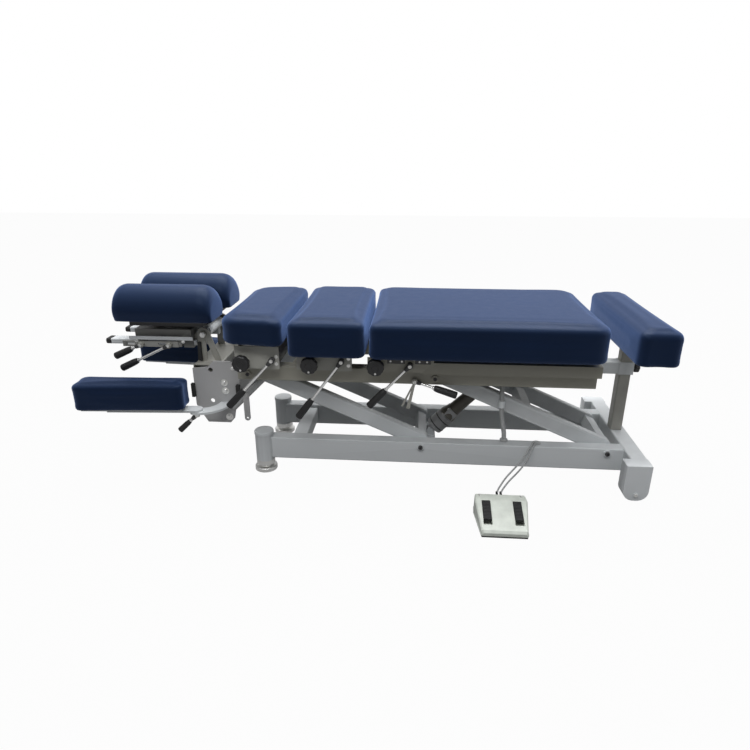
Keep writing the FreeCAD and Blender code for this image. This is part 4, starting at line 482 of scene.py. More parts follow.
def cap_screw(name, centre, normal, radius, body, finish="bolt"):
    """Domed cap with a round socket."""
    height = radius * 0.7
    profile = [(0, radius), (height * 0.55, radius), (height * 0.85, radius * 0.9),
               (height, radius * 0.66), (height, radius * 0.46), (height * 0.4, radius * 0.44),
               (height * 0.4, 0.0002)]
    return turned(name, centre, normal, profile, finish, body, 36)


WELD_STEP = 0.0011
WELD_SCALE = 0.0052


def weld(name, points, body, radius=0.003):
    """Bead of overlapping scales laid along a joint."""
    length = sum((Vector(b) - Vector(a)).length for a, b in zip(points, points[1:]))
    steps = max(int(length / WELD_STEP), 8)
    path = []
    for start, end in zip(points, points[1:]):
        part = max(int(steps * (Vector(end) - Vector(start)).length / length), 2)
        path += straight(start, end, part + 1)[:-1]
    path.append(Vector(points[-1]))

    def scale(distance):
        return radius * (0.82 + 0.18 * abs(math.sin(distance * math.pi / WELD_SCALE)))

    return piece(name, *sweep(path, scale, 8), "weld", body)


# Upholstery

CLOTH_INSET = 0.0012
CLOTH_FRAMES = 12
CLOTH_STIFFNESS = 40
CLOTH_BENDING = 3
SWELL_EVENING = 30
SMOOTH_SHARE = 0.5
SMOOTH_ROUNDS = 4
TIGHT_EDGE = 0.0105
SOFT_EDGE = 0.0
# name, node, body, voxel
TOP_CUSHIONS = (
    ("pelvic_cover", "pelvic_cushion", "pelvic", 0.0075),
    ("lower_chest_cover", "lower_chest_cushion", "lower_chest", 0.007),
    ("upper_chest_cover", "upper_chest_cushion", "upper_chest", 0.007),
    ("ankle_cover", "ankle_cushion", "ankle_post", 0.006),
)
HEAD_VOXEL = 0.005
ARM_VOXEL = 0.0045


def soft_copy(name, node, inset):
    """Copy of a CAD soft solid, drawn in a little before it swells."""
    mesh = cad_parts[node].data.copy()
    mesh.name = name
    item = linked(name, mesh)
    low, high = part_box(node)
    centre = (Vector(low) + Vector(high)) / 2
    size = Vector(high) - Vector(low)
    for vertex in mesh.vertices:
        offset = vertex.co - centre
        for axis in range(3):
            offset[axis] *= 1 - 2 * inset / size[axis]
        vertex.co = centre + offset
        vertex.co.z -= inset
    return item


def apply_modifiers(item):
    """Replaces the mesh by what its modifiers make of it."""
    bpy.context.view_layer.update()
    depsgraph = bpy.context.evaluated_depsgraph_get()
    mesh = bpy.data.meshes.new_from_object(item.evaluated_get(depsgraph))
    item.modifiers.clear()
    old = item.data
    item.data = mesh
    bpy.data.meshes.remove(old)


def evened(mesh, values, rounds):
    """One number per vertex, averaged with its neighbours' a few times over."""
    pairs = np.empty(len(mesh.edges) * 2, dtype=np.int64)
    mesh.edges.foreach_get("vertices", pairs)
    first, second = pairs[0::2], pairs[1::2]
    counts = np.bincount(pairs, minlength=len(values)).astype(float)
    for _ in range(rounds):
        sums = (np.bincount(first, values[second], len(values))
                + np.bincount(second, values[first], len(values)))
        values = 0.5 * values + 0.5 * sums / np.maximum(counts, 1)
    return values


def places(mesh):
    """Vertex places as rows of an array."""
    found = np.empty(len(mesh.vertices) * 3)
    mesh.vertices.foreach_get("co", found)
    return found.reshape(-1, 3)


def directions(mesh):
    """Vertex normals as rows of an array."""
    found = np.empty(len(mesh.vertices) * 3, dtype=np.float32)
    mesh.vertex_normals.foreach_get("vector", found)
    return found.reshape(-1, 3).astype(float)


def crisped(item, crisp):
    """Draws rounded edges out by up to crisp, so that the top meets the sides more tightly."""
    facing = directions(item.data)
    turn = np.linalg.norm(facing[:, :2], axis=1) + np.abs(facing[:, 2]) - 1
    shift = evened(item.data, turn, 1) * crisp
    item.data.vertices.foreach_set("co", (places(item.data) + facing * shift[:, None]).ravel())


def swell(item, voxel, floor_level, crisp):
    """Cloth under inner pressure, its outward swell evened, capped and laid on the cushion."""
    sizes = bpy.context.scene.table_sizes
    modifier = item.modifiers.new("remesh", "REMESH")
    modifier.mode = "VOXEL"
    modifier.voxel_size = voxel
    modifier.use_smooth_shade = True
    apply_modifiers(item)
    rest, outward = places(item.data), directions(item.data)
    held = rest[:, 2] < floor_level + voxel * 0.8
    pinned = item.vertex_groups.new(name="pinned")
    pinned.add([int(number) for number in np.flatnonzero(held)], 1.0, "REPLACE")
    cloth = item.modifiers.new("cloth", "CLOTH")
    settings = cloth.settings
    settings.quality = 4
    settings.use_pressure = True
    settings.uniform_pressure_force = sizes.cloth_pressure
    settings.effector_weights.gravity = 0
    settings.vertex_group_mass = "pinned"
    settings.tension_stiffness = CLOTH_STIFFNESS
    settings.compression_stiffness = CLOTH_STIFFNESS
    settings.bending_stiffness = CLOTH_BENDING
    cloth.collision_settings.use_collision = False
    for number in range(1, CLOTH_FRAMES + 1):
        bpy.context.scene.frame_set(number)
    apply_modifiers(item)
    bpy.context.scene.frame_set(1)
    rise = ((places(item.data) - rest) * outward).sum(axis=1)
    rise[held] = 0
    rise = np.clip(evened(item.data, rise, SWELL_EVENING), 0, sizes.cloth_limit)
    item.data.vertices.foreach_set("co", (rest + outward * rise[:, None]).ravel())
    smooth = item.modifiers.new("smooth", "SMOOTH")
    smooth.factor = SMOOTH_SHARE
    smooth.iterations = SMOOTH_ROUNDS
    apply_modifiers(item)
    crisped(item, crisp)
    subdivide = item.modifiers.new("fine", "SUBSURF")
    subdivide.levels = 1
    subdivide.render_levels = 1
    apply_modifiers(item)
    for vertex in item.data.vertices:
        vertex.co.z = max(vertex.co.z, floor_level)


def cushion(name, node, body, voxel, crisp=TIGHT_EDGE):
    """One upholstered cushion in place of its plain solid."""
    item = soft_copy(name, node, CLOTH_INSET)
    swell(item, voxel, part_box(node)[0][2], crisp)
    painted(item.data, "vinyl")
    for polygon in item.data.polygons:
        polygon.use_smooth = True
    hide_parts(node)
    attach(item, body)
    return item


class TABLE_OT_cushions(bpy.types.Operator):
    """Upholster the top: pelvic, chest and ankle cushions"""
    bl_idname = "table.cushions"
    bl_label = "Cushions"

    def execute(self, context):
        for name, node, body, voxel in TOP_CUSHIONS:
            cushion(name, node, body, voxel)
        return {"FINISHED"}


class TABLE_OT_head_cushions(bpy.types.Operator):
    """Upholster the two head bolsters and the two arm rests"""
    bl_idname = "table.head_cushions"
    bl_label = "Head and arm cushions"

    def execute(self, context):
        for side in SIDE_NAMES.values():
            cushion(f"{side}_head_bolster", f"{side}_head_pad", "head_plate", HEAD_VOXEL,
                    SOFT_EDGE)
            cushion(f"{side}_arm_cover", f"{side}_arm_cushion", f"{side}_arm", ARM_VOXEL)
        return {"FINISHED"}


# Levers, grips and knobs

# How far these faces stand from the table's middle line
CARRIER_FACE = 0.205
RAIL_OUTER = 0.166
RAIL_INNER = 0.120
RAIL_BOLT_FACE = 0.172
PLATE_FACE = 0.143
CARRIAGE_FACE = 0.120
# Clearance between a hub and the face that it turns on
GAP = 0.0003

GRIP_COLLAR = 0.008
GRIP_FLUTES = 12
GRIP_RADIUS = 0.0120
CLAMP_GRIP_RADIUS = 0.0098
SIDE_GRIP = 0.078
HEAD_GRIP = 0.064
CLAMP_GRIP = 0.048
HUB_RADIUS = 0.010
HUB_LENGTH = 0.016
LEVER_SPLAY = 7

# name, place along the table, height, bare rod, slope
SIDE_LEVERS = (
    ("upper_chest", -0.559, 0.430, 0.141, 46.7),
    ("lower_chest", -0.333, 0.432, 0.163, 52.7),
    ("pelvic", -0.114, 0.424, 0.115, 46.0),
)
# name, place along the table, bare rod, slope
HEAD_LEVERS = (
    ("carriage_lever", -1.030, 0.040, 24.0),
    ("drop_lever", -0.932, 0.126, 25.5),
)
HEAD_LEVER_LEVEL = 0.4455
RELEASE_PIVOT = (-0.098, 0.356)
# lean from hanging straight, half width
RELEASE_BARS = ((24.0, 0.0035), (12.0, 0.0060))
RELEASE_BAR_LENGTH = 0.096
CLAMP_PIVOT = (-0.824, 0.222, 0.2337)


def grip_profile(length, radius):
    """Outline of a moulded grip: collar, waist, swell and a blunt end."""
    end = radius * 0.35
    rows = [(0, radius * 0.55), (0.0012, radius * 0.78), (0.004, radius * 0.82),
            (GRIP_COLLAR, radius * 0.90)]
    for step in range(1, 9):
        share = step / 8
        rows.append((GRIP_COLLAR + (length - end - GRIP_COLLAR) * share,
                     radius * (0.93 + 0.07 * math.sin(share * math.pi / 2))))
    for step in range(1, 7):
        angle = step / 6 * math.pi / 2
        rows.append((length - end + end * math.sin(angle), radius - end + end * math.cos(angle)))
    return rows + [(length, radius * 0.3), (length - 0.0006, 0.0003)]


def fluted(angle, distance):
    """Lengthwise flutes of a grip, the collar left plain."""
    if distance <= GRIP_COLLAR:
        return 1
    return 1 - 0.055 * max(0.0, math.cos(angle * GRIP_FLUTES)) ** 2


def lever_direction(slope, splay):
    """Way a lever points: to the head end, down by the slope and outwards by the splay."""
    slope, splay = math.radians(slope), math.radians(splay)
    return Vector((-math.cos(splay) * math.cos(slope), -math.sin(splay),
                   -math.cos(splay) * math.sin(slope)))


def lever_set(body, start, slope, bare, grip, splay=LEVER_SPLAY, grip_radius=GRIP_RADIUS):
    """Chrome rod, fluted grip, ferrule and root of one lever; slope and splay in degrees."""
    start = Vector(start)
    direction = lever_direction(slope, splay)
    rod = turned(f"{body}_rod", start, direction,
                 [(0, 0.0045), (bare * 0.5, 0.0045), (bare + 0.004, 0.0045),
                  (bare + 0.010, 0.0042)], "chrome", body, 28)
    handle = turned(f"{body}_grip", start + direction * (bare - 0.004), direction,
                    grip_profile(grip, grip_radius), "grip", body, 72, fluted)
    turned(f"{body}_ferrule", start + direction * (bare - 0.010), direction,
           [(0, 0.0046), (0.001, 0.0062), (0.006, 0.0066), (0.0075, 0.0058)], "chrome", body, 28)
    turned(f"{body}_root", start + direction * HUB_RADIUS * 0.5, direction,
           [(0, 0.0078), (0.009, 0.0076), (0.016, 0.0062), (0.018, 0.0047)],
           "black_steel", body, 28)
    return rod


def hub_set(body, centre, shaft, finish="bracket"):
    """Turned hub with a chamfer, a set screw and its shaft through the plate."""
    length, radius = HUB_LENGTH, HUB_RADIUS
    face = Vector(centre) - Y_AXIS * length / 2
    turned(f"{body}_hub", face, Y_AXIS,
           [(0, radius * 0.86), (0.0012, radius), (length - 0.0012, radius),
            (length, radius * 0.86), (length, 0.0052), (length + shaft, 0.0050),
            (length + shaft, 0.0078), (length + shaft + 0.0045, 0.0078),
            (length + shaft + 0.005, 0.006)], finish, body, 36)
    cap_screw(f"{body}_screw", face, -Y_AXIS, radius * 0.62, body)


def hub_middle(face):
    """Where the middle of a hub lies that stands before a near-side face."""
    return -face - GAP - HUB_LENGTH / 2


class TABLE_OT_levers(bpy.types.Operator):
    """Dress the hand levers with chrome rods and fluted grips"""
    bl_idname = "table.levers"
    bl_label = "Levers"

    def execute(self, context):
        for name, place, height, bare, slope in SIDE_LEVERS:
            body = f"{name}_lever"
            start = (place, hub_middle(CARRIER_FACE), height)
            rod = lever_set(body, start, slope, bare, SIDE_GRIP)
            hub_set(body, start, 0.0056, "black_steel")
            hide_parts(body)
        for body, place, bare, slope in HEAD_LEVERS:
            start = (place, hub_middle(CARRIAGE_FACE), HEAD_LEVER_LEVEL)
            rod = lever_set(body, start, slope, bare, HEAD_GRIP)
            hub_set(body, start, 0.0066)
            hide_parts(body)
        self.release_lever()
        for side, name in SIDE_NAMES.items():
            self.clamp(side, name)
        return {"FINISHED"}

    def release_lever(self):
        """Lever that points to the foot end, with its two crank bars on the hub."""
        body = "release_lever"
        start = Vector((RELEASE_PIVOT[0], hub_middle(RAIL_OUTER), RELEASE_PIVOT[1]))
        rod = lever_set(body, start, 164.4, 0.071, SIDE_GRIP)
        hub_set(body, start, 0.0008)
        for number, (lean, width) in enumerate(RELEASE_BARS, start=1):
            angle = math.radians(180 + lean)
            direction = Vector((math.sin(angle), 0, math.cos(angle)))
            outline = [(-width * 0.6, 0.0), (width * 0.6, 0.0),
                       (width, RELEASE_BAR_LENGTH), (-width, RELEASE_BAR_LENGTH)]
            origin = start - Y_AXIS * (0.004 + 0.0042 * (number - 1))
            plate_piece(f"release_bar_{number}", outline, 0.004, origin,
                        direction.cross(Y_AXIS), direction, "bracket", body)
        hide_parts(body)

    def clamp(self, side, name):
        """Short lever that clamps an arm rest's swivel."""
        body = f"{name}_clamp"
        x, y, z = CLAMP_PIVOT
        pivot = Vector((x, side * y, z))
        rod = lever_set(body, pivot, 42.0, 0.034, CLAMP_GRIP, -side * 19.0, CLAMP_GRIP_RADIUS)
        turned(f"{body}_hub", pivot - Z_AXIS * 0.007, Z_AXIS,
               [(0, 0.0086), (0.001, 0.0098), (0.0128, 0.0098), (0.0138, 0.0088),
                (0.0138, 0.0062)], "bolt", body, 36)
        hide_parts(f"{body}_lever")


# name, place along the table
SIDE_KNOBS = (("upper_chest", -0.653), ("lower_chest", -0.433), ("pelvic", -0.222))
SIDE_KNOB_LEVEL = 0.425
SIDE_KNOB_STANDOFF = 0.020
ANKLE_KNOB_FACE = (0.6483, 0, 0.365)


def knob_profile(radius, height, edge):
    """Outline of a round knob with rounded rims and a shallow dished face."""
    rows = [(0, radius * 0.5), (0.0004, radius - edge)]
    for step in range(6):
        angle = step / 5 * math.pi / 2
        rows.append((edge - edge * math.cos(angle), radius - edge + edge * math.sin(angle)))
    for step in range(6):
        angle = step / 5 * math.pi / 2
        rows.append((height - edge + edge * math.sin(angle),
                     radius - edge + edge * math.cos(angle)))
    rows += [(height, radius * 0.45), (height - 0.0016, radius * 0.40), (height - 0.0016, 0.0002)]
    return rows


def lobed(count, depth):
    """Rounded lobes round a rim."""
    def flute(angle, distance):
        return 1 - depth * (0.5 - 0.5 * math.cos(angle * count)) ** 2
    return flute


class TABLE_OT_knobs(bpy.types.Operator):
    """Dress the tension knobs and the ankle lock knob"""
    bl_idname = "table.knobs"
    bl_label = "Knobs"

    def execute(self, context):
        for name, place in SIDE_KNOBS:
            body = f"{name}_knob"
            face = Vector((place, -CARRIER_FACE - SIDE_KNOB_STANDOFF, SIDE_KNOB_LEVEL))
            rim = turned(f"{body}_rim", face, -Y_AXIS, knob_profile(0.028, 0.024, 0.006),
                         "knob", body, 96, lobed(9, 0.055))
            turned(f"{body}_stem", face + Y_AXIS * 0.0195, -Y_AXIS,
                   [(0, 0.009), (0.001, 0.012), (0.006, 0.012), (0.007, 0.0085),
                    (0.019, 0.0085), (0.0205, 0.011)], "bolt", body, 36)
            turned(f"{body}_stud", face + Y_AXIS * 0.0365, -Y_AXIS,
                   [(0, 0.0038), (0.001, 0.0045), (0.018, 0.0045)], "bolt", body, 24)
            cap_screw(f"{body}_cap", face - Y_AXIS * 0.0236 - Z_AXIS * 0.0185, -Y_AXIS, 0.0034,
                      body)
            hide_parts(body)
        body = "ankle_knob"
        face = Vector(ANKLE_KNOB_FACE)
        rim = turned("ankle_knob_rim", face + X_AXIS * 0.006, X_AXIS,
                     knob_profile(0.020, 0.018, 0.004), "knob", body, 80, lobed(7, 0.14))
        turned("ankle_knob_stem", face + X_AXIS * GAP, X_AXIS,
               [(0, 0.007), (0.001, 0.009), (0.005, 0.009), (0.0065, 0.0085)], "bolt", body, 30)
        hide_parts(body)
        return {"FINISHED"}


# Fasteners, welds, stops and caps on the steel

# place along the table, level
BASE_BOLTS = ((-0.072, 0.113), (0.552, 0.113))
CHASSIS_BOLTS = ((-0.6552, 0.3642), (-0.0312, 0.3642))
CARRIER_BOLTS = ((-0.546, 0.440), (-0.546, 0.416), (-0.311, 0.440), (-0.311, 0.416))
# place along the table, level, radius
PLATE_BOLTS = ((-0.748, 0.320, 0.0085), (-0.746, 0.290, 0.0085), (-0.740, 0.192, 0.0085),
               (-0.715, 0.372, 0.0045))
LATCH_STRIPS = ((-0.186, -0.130), (-0.098, -0.048))
LATCH_SCREWS = (-0.176, -0.140, -0.084, -0.060)
LATCH_FACE = 0.2062
AXLE_NUT = (0.620, 0.2835, 0.027)
TILT_NUT = (-0.820, 0.104, 0.478)


class TABLE_OT_fasteners(bpy.types.Operator):
    """Add bolt heads, washers and screws"""
    bl_idname = "table.fasteners"
    bl_label = "Fasteners"

    def execute(self, context):
        for side, name in SIDE_NAMES.items():
            out = Y_AXIS * side
            for number, (place, level) in enumerate(BASE_BOLTS, start=1):
                cap_screw(f"{name}_base_screw_{number}", (place, side * RAIL_BOLT_FACE, level),
                          out, 0.0080, "base", "black_steel")
            for number, (place, level) in enumerate(CHASSIS_BOLTS, start=1):
                cap_screw(f"{name}_chassis_screw_{number}", (place, side * RAIL_BOLT_FACE, level),
                          out, 0.0062, "chassis", "black_steel")
            x, y, z = AXLE_NUT
            hex_bolt(f"{name}_axle_nut", (x, side * y, z), out, 0.0062, "base", False)
            for number, (place, level, radius) in enumerate(PLATE_BOLTS, start=1):
                hex_bolt(f"{name}_plate_bolt_{number}", (place, side * PLATE_FACE, level),
                         out, radius, "chassis")
            for number, (place, level) in enumerate(CARRIER_BOLTS, start=1):
                hex_bolt(f"{name}_carrier_bolt_{number}", (place, side * CARRIER_FACE, level),
                         out, 0.0040, "chassis")
            for number, (start, end) in enumerate(LATCH_STRIPS, start=1):
                slab(f"{name}_latch_strip_{number}", (start, side * 0.2046, 0.4275),
                     (end, side * LATCH_FACE, 0.4415), "black_steel", "chassis", 0.0004)
            for number, place in enumerate(LATCH_SCREWS, start=1):
                hex_bolt(f"{name}_latch_screw_{number}", (place, side * LATCH_FACE, 0.4355),
                         out, 0.0032, "chassis", False)
            x, y, z = TILT_NUT
            hex_bolt(f"{name}_tilt_nut", (x, side * y, z), out, 0.0105, "chassis", False)
        return {"FINISHED"}


POST_CAP = ((0, 0.0321), (0.001, 0.0334), (0.0095, 0.0336), (0.0125, 0.0320),
            (0.0138, 0.0290), (0.0141, 0.0200), (0.0141, 0.0003))
POST_FOOT = (-0.620, 0.150, 0)
CROSS_TUBE_ENDS = (-0.525, -0.475)
CHASSIS_START, CHASSIS_LENGTH = -0.690, 1.175
CHASSIS_LINKS = (0.17, 0.40, 0.69, 0.96)
BUMPER = ((0, 0.009), (0.002, 0.011), (0.016, 0.0105), (0.0195, 0.008), (0.021, 0.004))
# place along the table, level of the bumper's seat
BUMPERS = ((-0.550, 0.4475), (-0.466, 0.4195), (-0.236, 0.4195))
# name, start and end along the table, bottom and top
PLATE_STOPS = (("head", -0.862, -0.850, 0.268, 0.318), ("foot", -0.706, -0.692, 0.276, 0.316))
RUNNER_BOLTS = (-1.048, -0.885)
GUIDE_POSTS = (-1.020, -0.900)
CLEVIS = ((0.0, -0.016), (0.052, 0.004), (0.078, 0.030), (0.090, 0.028), (0.094, 0.016),
          (0.074, -0.010), (0.030, -0.030), (0.0, -0.032))
TILT_LOCK = ((-0.006, 0.0), (0.004, 0.0), (0.004, -0.068), (-0.010, -0.064))


class TABLE_OT_steelwork(bpy.types.Operator):
    """Add weld beads, rubber stops, caps, collars and clevis plates"""
    bl_idname = "table.steelwork"
    bl_label = "Steelwork"

    def execute(self, context):
        self.base()
        self.chassis()
        self.head()
        return {"FINISHED"}

    def base(self):
        for side, name in SIDE_NAMES.items():
            inner, outer = side * RAIL_INNER, side * RAIL_OUTER
            for end, place in enumerate(CROSS_TUBE_ENDS, start=1):
                weld(f"{name}_cross_weld_{end}",
                     [(place, inner, 0.069), (place, inner, 0.117)], "base")
            weld(f"{name}_cross_top_weld",
                 [(-0.524, inner, 0.1185), (-0.476, inner, 0.1185)], "base")
            for end, level in enumerate((0.050, 0.127), start=1):
                weld(f"{name}_beam_weld_{end}", [(0.6055, inner + side * 0.002, level),
                                                 (0.6055, outer - side * 0.002, level)],
                     "base", 0.0022)
            x, y, z = POST_FOOT
            post = Vector((x, side * y, z))
            turned(f"{name}_post_cap", post + Z_AXIS * 0.1365, Z_AXIS, POST_CAP, "coat", "base",
                   56)
            beads = [(x + 0.0278, outer - side * 0.0005, 0.050 + 0.075 * step / 8)
                     for step in range(9)]
            weld(f"{name}_post_weld", beads, "base", 0.0026)
            nut = turned(f"{name}_foot_nut", post + Z_AXIS * 0.025, Z_AXIS,
                         [(0, 0.0165), (0.0012, 0.0182), (0.009, 0.0182), (0.0102, 0.0165)],
                         "bolt", "base", 6)
            nut.data.polygons.foreach_set("use_smooth", [False] * len(nut.data.polygons))

    def chassis(self):
        for side, name in SIDE_NAMES.items():
            inner = side * RAIL_INNER
            for number, share in enumerate(CHASSIS_LINKS, start=1):
                middle = CHASSIS_START + CHASSIS_LENGTH * share
                for end, edge in enumerate((-0.020, 0.020), start=1):
                    weld(f"{name}_link_weld_{number}_{end}",
                         [(middle + edge, inner, 0.362), (middle + edge, inner, 0.392)],
                         "chassis", 0.0024)
            row = side * 0.180
            far_edge = 0.200 if side == FAR_SIDE else row + 0.013
            for number, (place, level) in enumerate(BUMPERS, start=1):
                turned(f"{name}_bumper_{number}", (place, row, level), Z_AXIS, BUMPER,
                       "rubber", "chassis", 28)
                slab(f"{name}_bumper_seat_{number}", (place - 0.013, row - 0.013, level - 0.004),
                     (place + 0.013, far_edge, level), "bracket", "chassis")
            face = side * PLATE_FACE
            for stop, start, end, bottom, top in PLATE_STOPS:
                slab(f"{name}_stop_{stop}", (start, face, bottom),
                     (end, face + side * 0.014, top), "rubber", "chassis", 0.002)

    def head(self):
        for side, name in SIDE_NAMES.items():
            middle = side * 0.070
            slab(f"{name}_slide_cap", (-1.176, middle - 0.0206, 0.4324),
                 (-1.150, middle + 0.0206, 0.4526), "rubber", "head_rails", 0.006)
            slab(f"{name}_pan_bar", (-1.072, side * CARRIAGE_FACE, 0.4612),
                 (-0.850, side * 0.1222, 0.4735), "coat", "head_carriage", 0.0006)
            for number, place in enumerate(RUNNER_BOLTS, start=1):
                hex_bolt(f"{name}_runner_bolt_{number}", (place, side * CARRIAGE_FACE, 0.4555),
                         Y_AXIS * side, 0.0042, "head_carriage")
        for number, place in enumerate(GUIDE_POSTS, start=1):
            turned(f"guide_collar_{number}", (place, 0, 0.4952), Z_AXIS,
                   [(0, 0.022), (0.004, 0.022), (0.006, 0.0195), (0.006, 0.0156)],
                   "bolt", "head_carriage", 40)
        for side, name in SIDE_NAMES.items():
            plate_piece(f"{name}_clevis", CLEVIS, 0.005, (-0.915, side * 0.0745, 0.462),
                        X_AXIS, Z_AXIS, "bracket", "head_rails")
        for side, name in SIDE_NAMES.items():
            plate_piece(f"{name}_tilt_lock", TILT_LOCK, 0.012, (-0.834, side * 0.1043, 0.452),
                        X_AXIS, Z_AXIS, "rubber", "chassis", 0.002)


# Lift, pedal and cords

ACTUATOR_SLOPE = math.radians(45.0814)
ACTUATOR_PIVOT = (-0.036, 0, 0.100)
TUBE_COVER = ((0, 0.0300), (0.001, 0.0320), (0.010, 0.0312), (0.026, 0.0262), (0.040, 0.0240),
              (0.118, 0.0224), (0.120, 0.0214), (0.120, 0.0172))


class TABLE_OT_actuator(bpy.types.Operator):
    """Dress the lift actuator"""
    bl_idname = "table.actuator"
    bl_label = "Actuator"

    def execute(self, context):
        along = Vector((math.cos(ACTUATOR_SLOPE), 0, math.sin(ACTUATOR_SLOPE)))
        up = Vector((-math.sin(ACTUATOR_SLOPE), 0, math.cos(ACTUATOR_SLOPE)))
        pivot = Vector(ACTUATOR_PIVOT)
        body = "actuator_motor"
        for number, place in enumerate((0.030, 0.060), start=1):
            turned(f"motor_band_{number}", pivot + along * place, along,
                   [(0, 0.0328), (0.001, 0.0340), (0.004, 0.0340), (0.005, 0.0328)],
                   "black_steel", body, 48)
        turned("tube_cover", pivot + along * 0.0835, along, TUBE_COVER, "tube", body, 48)
        turned("tube_wiper", pivot + along * 0.226, along,
               [(0, 0.0172), (0.001, 0.0188), (0.009, 0.0188), (0.0115, 0.0115)],
               "rubber", body, 40)
        for number, side in enumerate((-1, 1), start=1):
            for step, place in enumerate((0.082, 0.108), start=1):
                seat = pivot + along * place + up * 0.0195 + Y_AXIS * side * 0.018
                cap_screw(f"gearbox_screw_{number}_{step}", seat, up, 0.0036, body)
        return {"FINISHED"}


LEFT_CORD = (
    (0.3188, -0.1408, 0.1315), (0.3108, -0.1498, 0.1354), (0.3035, -0.1605, 0.1345),
    (0.295, -0.172, 0.126), (0.285, -0.18, 0.112), (0.272, -0.191, 0.095),
    (0.254, -0.209, 0.08), (0.231, -0.233, 0.068), (0.207, -0.262, 0.058),
    (0.189, -0.292, 0.05), (0.177, -0.315, 0.0455), (0.1723, -0.333, 0.0444),
    (0.172, -0.345, 0.044))
RIGHT_CORD = (
    (0.3272, -0.1412, 0.1315), (0.3196, -0.1512, 0.135), (0.3123, -0.1623, 0.134),
    (0.304, -0.1735, 0.1255), (0.295, -0.183, 0.109), (0.284, -0.197, 0.091),
    (0.268, -0.215, 0.075), (0.246, -0.239, 0.063), (0.222, -0.266, 0.055),
    (0.203, -0.294, 0.049), (0.19, -0.316, 0.045), (0.1844, -0.333, 0.0442),
    (0.184, -0.345, 0.044))
LOWER_CONDUIT = (
    (0.213, -0.131, 0.1363), (0.213, -0.131, 0.152), (0.208, -0.1308, 0.178),
    (0.202, -0.1308, 0.207), (0.1965, -0.131, 0.236), (0.1965, -0.131, 0.254))
UPPER_CONDUIT = (
    (0.1956, -0.131, 0.2786), (0.1956, -0.131, 0.296), (0.193, -0.131, 0.317),
    (0.193, -0.131, 0.3337))
CORD_DIAMETER = 0.0055
HOSE_RADIUS = 0.0074
HOSE_RIB = 0.0006
HOSE_PITCH = 0.0036
HOSE_STEP = 0.0005
GROMMET_LIP = ((0, 0.0135), (0.001, 0.0145), (0.003, 0.0142), (0.0052, 0.011), (0.0052, 0.0095))
HOSE_NUT = ((0, 0.0125), (0.001, 0.0135), (0.0065, 0.0135), (0.0082, 0.0115), (0.0095, 0.0090))


def route(name, points, bevel=0.0):
    """Smooth NURBS line with the route's points as its control points."""
    curve = bpy.data.curves.new(name, "CURVE")
    curve.dimensions = "3D"
    spline = curve.splines.new("NURBS")
    spline.points.add(len(points) - 1)
    for control, place in zip(spline.points, points):
        control.co = (*place, 1)
    spline.order_u = 3
    spline.use_endpoint_u = True
    spline.resolution_u = 12
    curve.bevel_depth = bevel
    curve.bevel_resolution = 5
    curve.use_fill_caps = True
    return linked(name, curve)


def route_points(name, points):
    """The route's smooth line as a list of places."""
    line = route(name, points)
    bpy.context.view_layer.update()
    depsgraph = bpy.context.evaluated_depsgraph_get()
    mesh = bpy.data.meshes.new_from_object(line.evaluated_get(depsgraph))
    found = [vertex.co.copy() for vertex in mesh.vertices]
    bpy.data.objects.remove(line)
    return found


def route_length(points):
    return sum((after - before).length for before, after in zip(points, points[1:]))


def corrugated(distance):
    """Radius of the ribbed hose at a distance along it."""
    return HOSE_RADIUS + HOSE_RIB * math.cos(distance * 2 * math.pi / HOSE_PITCH)


class TABLE_OT_cords(bpy.types.Operator):
    """Lay the two pedal cords and the corrugated conduit"""
    bl_idname = "table.cords"
    bl_label = "Cords"

    def execute(self, context):
        for side, points in (("left", LEFT_CORD), ("right", RIGHT_CORD)):
            length = route_length(route_points(f"{side}_line", points))
            item = route(f"{side}_cord", points, CORD_DIAMETER / 2)
            item.data.materials.append(finishes()["cord"])
            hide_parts(f"{side}_pedal_cord")
            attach(item, "base")
        self.conduit("lower", LOWER_CONDUIT, "base", "foot_arms")
        self.conduit("upper", UPPER_CONDUIT, "foot_arms", "chassis")
        turned("grommet_lip", (0.323, -0.141, 0.128), Z_AXIS, GROMMET_LIP, "cord", "base", 40)
        turned("conduit_nut", (0.213, -0.131, 0.128), Z_AXIS, HOSE_NUT, "cord", "base", 40,
               lobed(14, 0.05))
        turned("conduit_top_nut", (0.193, -0.131, 0.342), -Z_AXIS, HOSE_NUT, "cord", "chassis",
               40, lobed(14, 0.05))
        return {"FINISHED"}

    def conduit(self, name, points, low_body, high_body):
        """One stretch of ribbed hose swept along its route, not attached to a body; low_body and
        high_body are not used.
        """
        line = route_points(f"{name}_conduit_line", points)
        fine = []
        for before, after in zip(line, line[1:]):
            steps = max(int((after - before).length / HOSE_STEP), 1)
            fine += straight(before, after, steps + 1)[:-1]
        fine.append(line[-1])
        item = piece(f"{name}_hose", *sweep(fine, corrugated, 20), "cord", None)
        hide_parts(f"{name}_conduit")
        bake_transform(item)


PEDAL_MIDDLE = 0.178
PEDAL_BACK, PEDAL_FOLD, PEDAL_FRONT = -0.353, -0.387, -0.503
PEDAL_BACK_HEIGHT, PEDAL_FRONT_HEIGHT = 0.056, 0.020
PEDAL_FLOOR = 0.0045
PEDAL_WALL = 0.004
PEDAL_SOLE = ((-0.0675, -0.075), (0.0675, -0.075), (0.081, 0.041), (0.0770, 0.074),
              (-0.0770, 0.074), (-0.081, 0.041))
PEDAL_SCREWS = ((0.114, -0.366, 0.0561), (0.242, -0.366, 0.0561))
CORD_RELIEF = ((0, 0.0062), (0.004, 0.0060), (0.006, 0.0050), (0.014, 0.0042), (0.024, 0.0034),
               (0.030, 0.0030))
ROCKER_OFFSET = 0.047


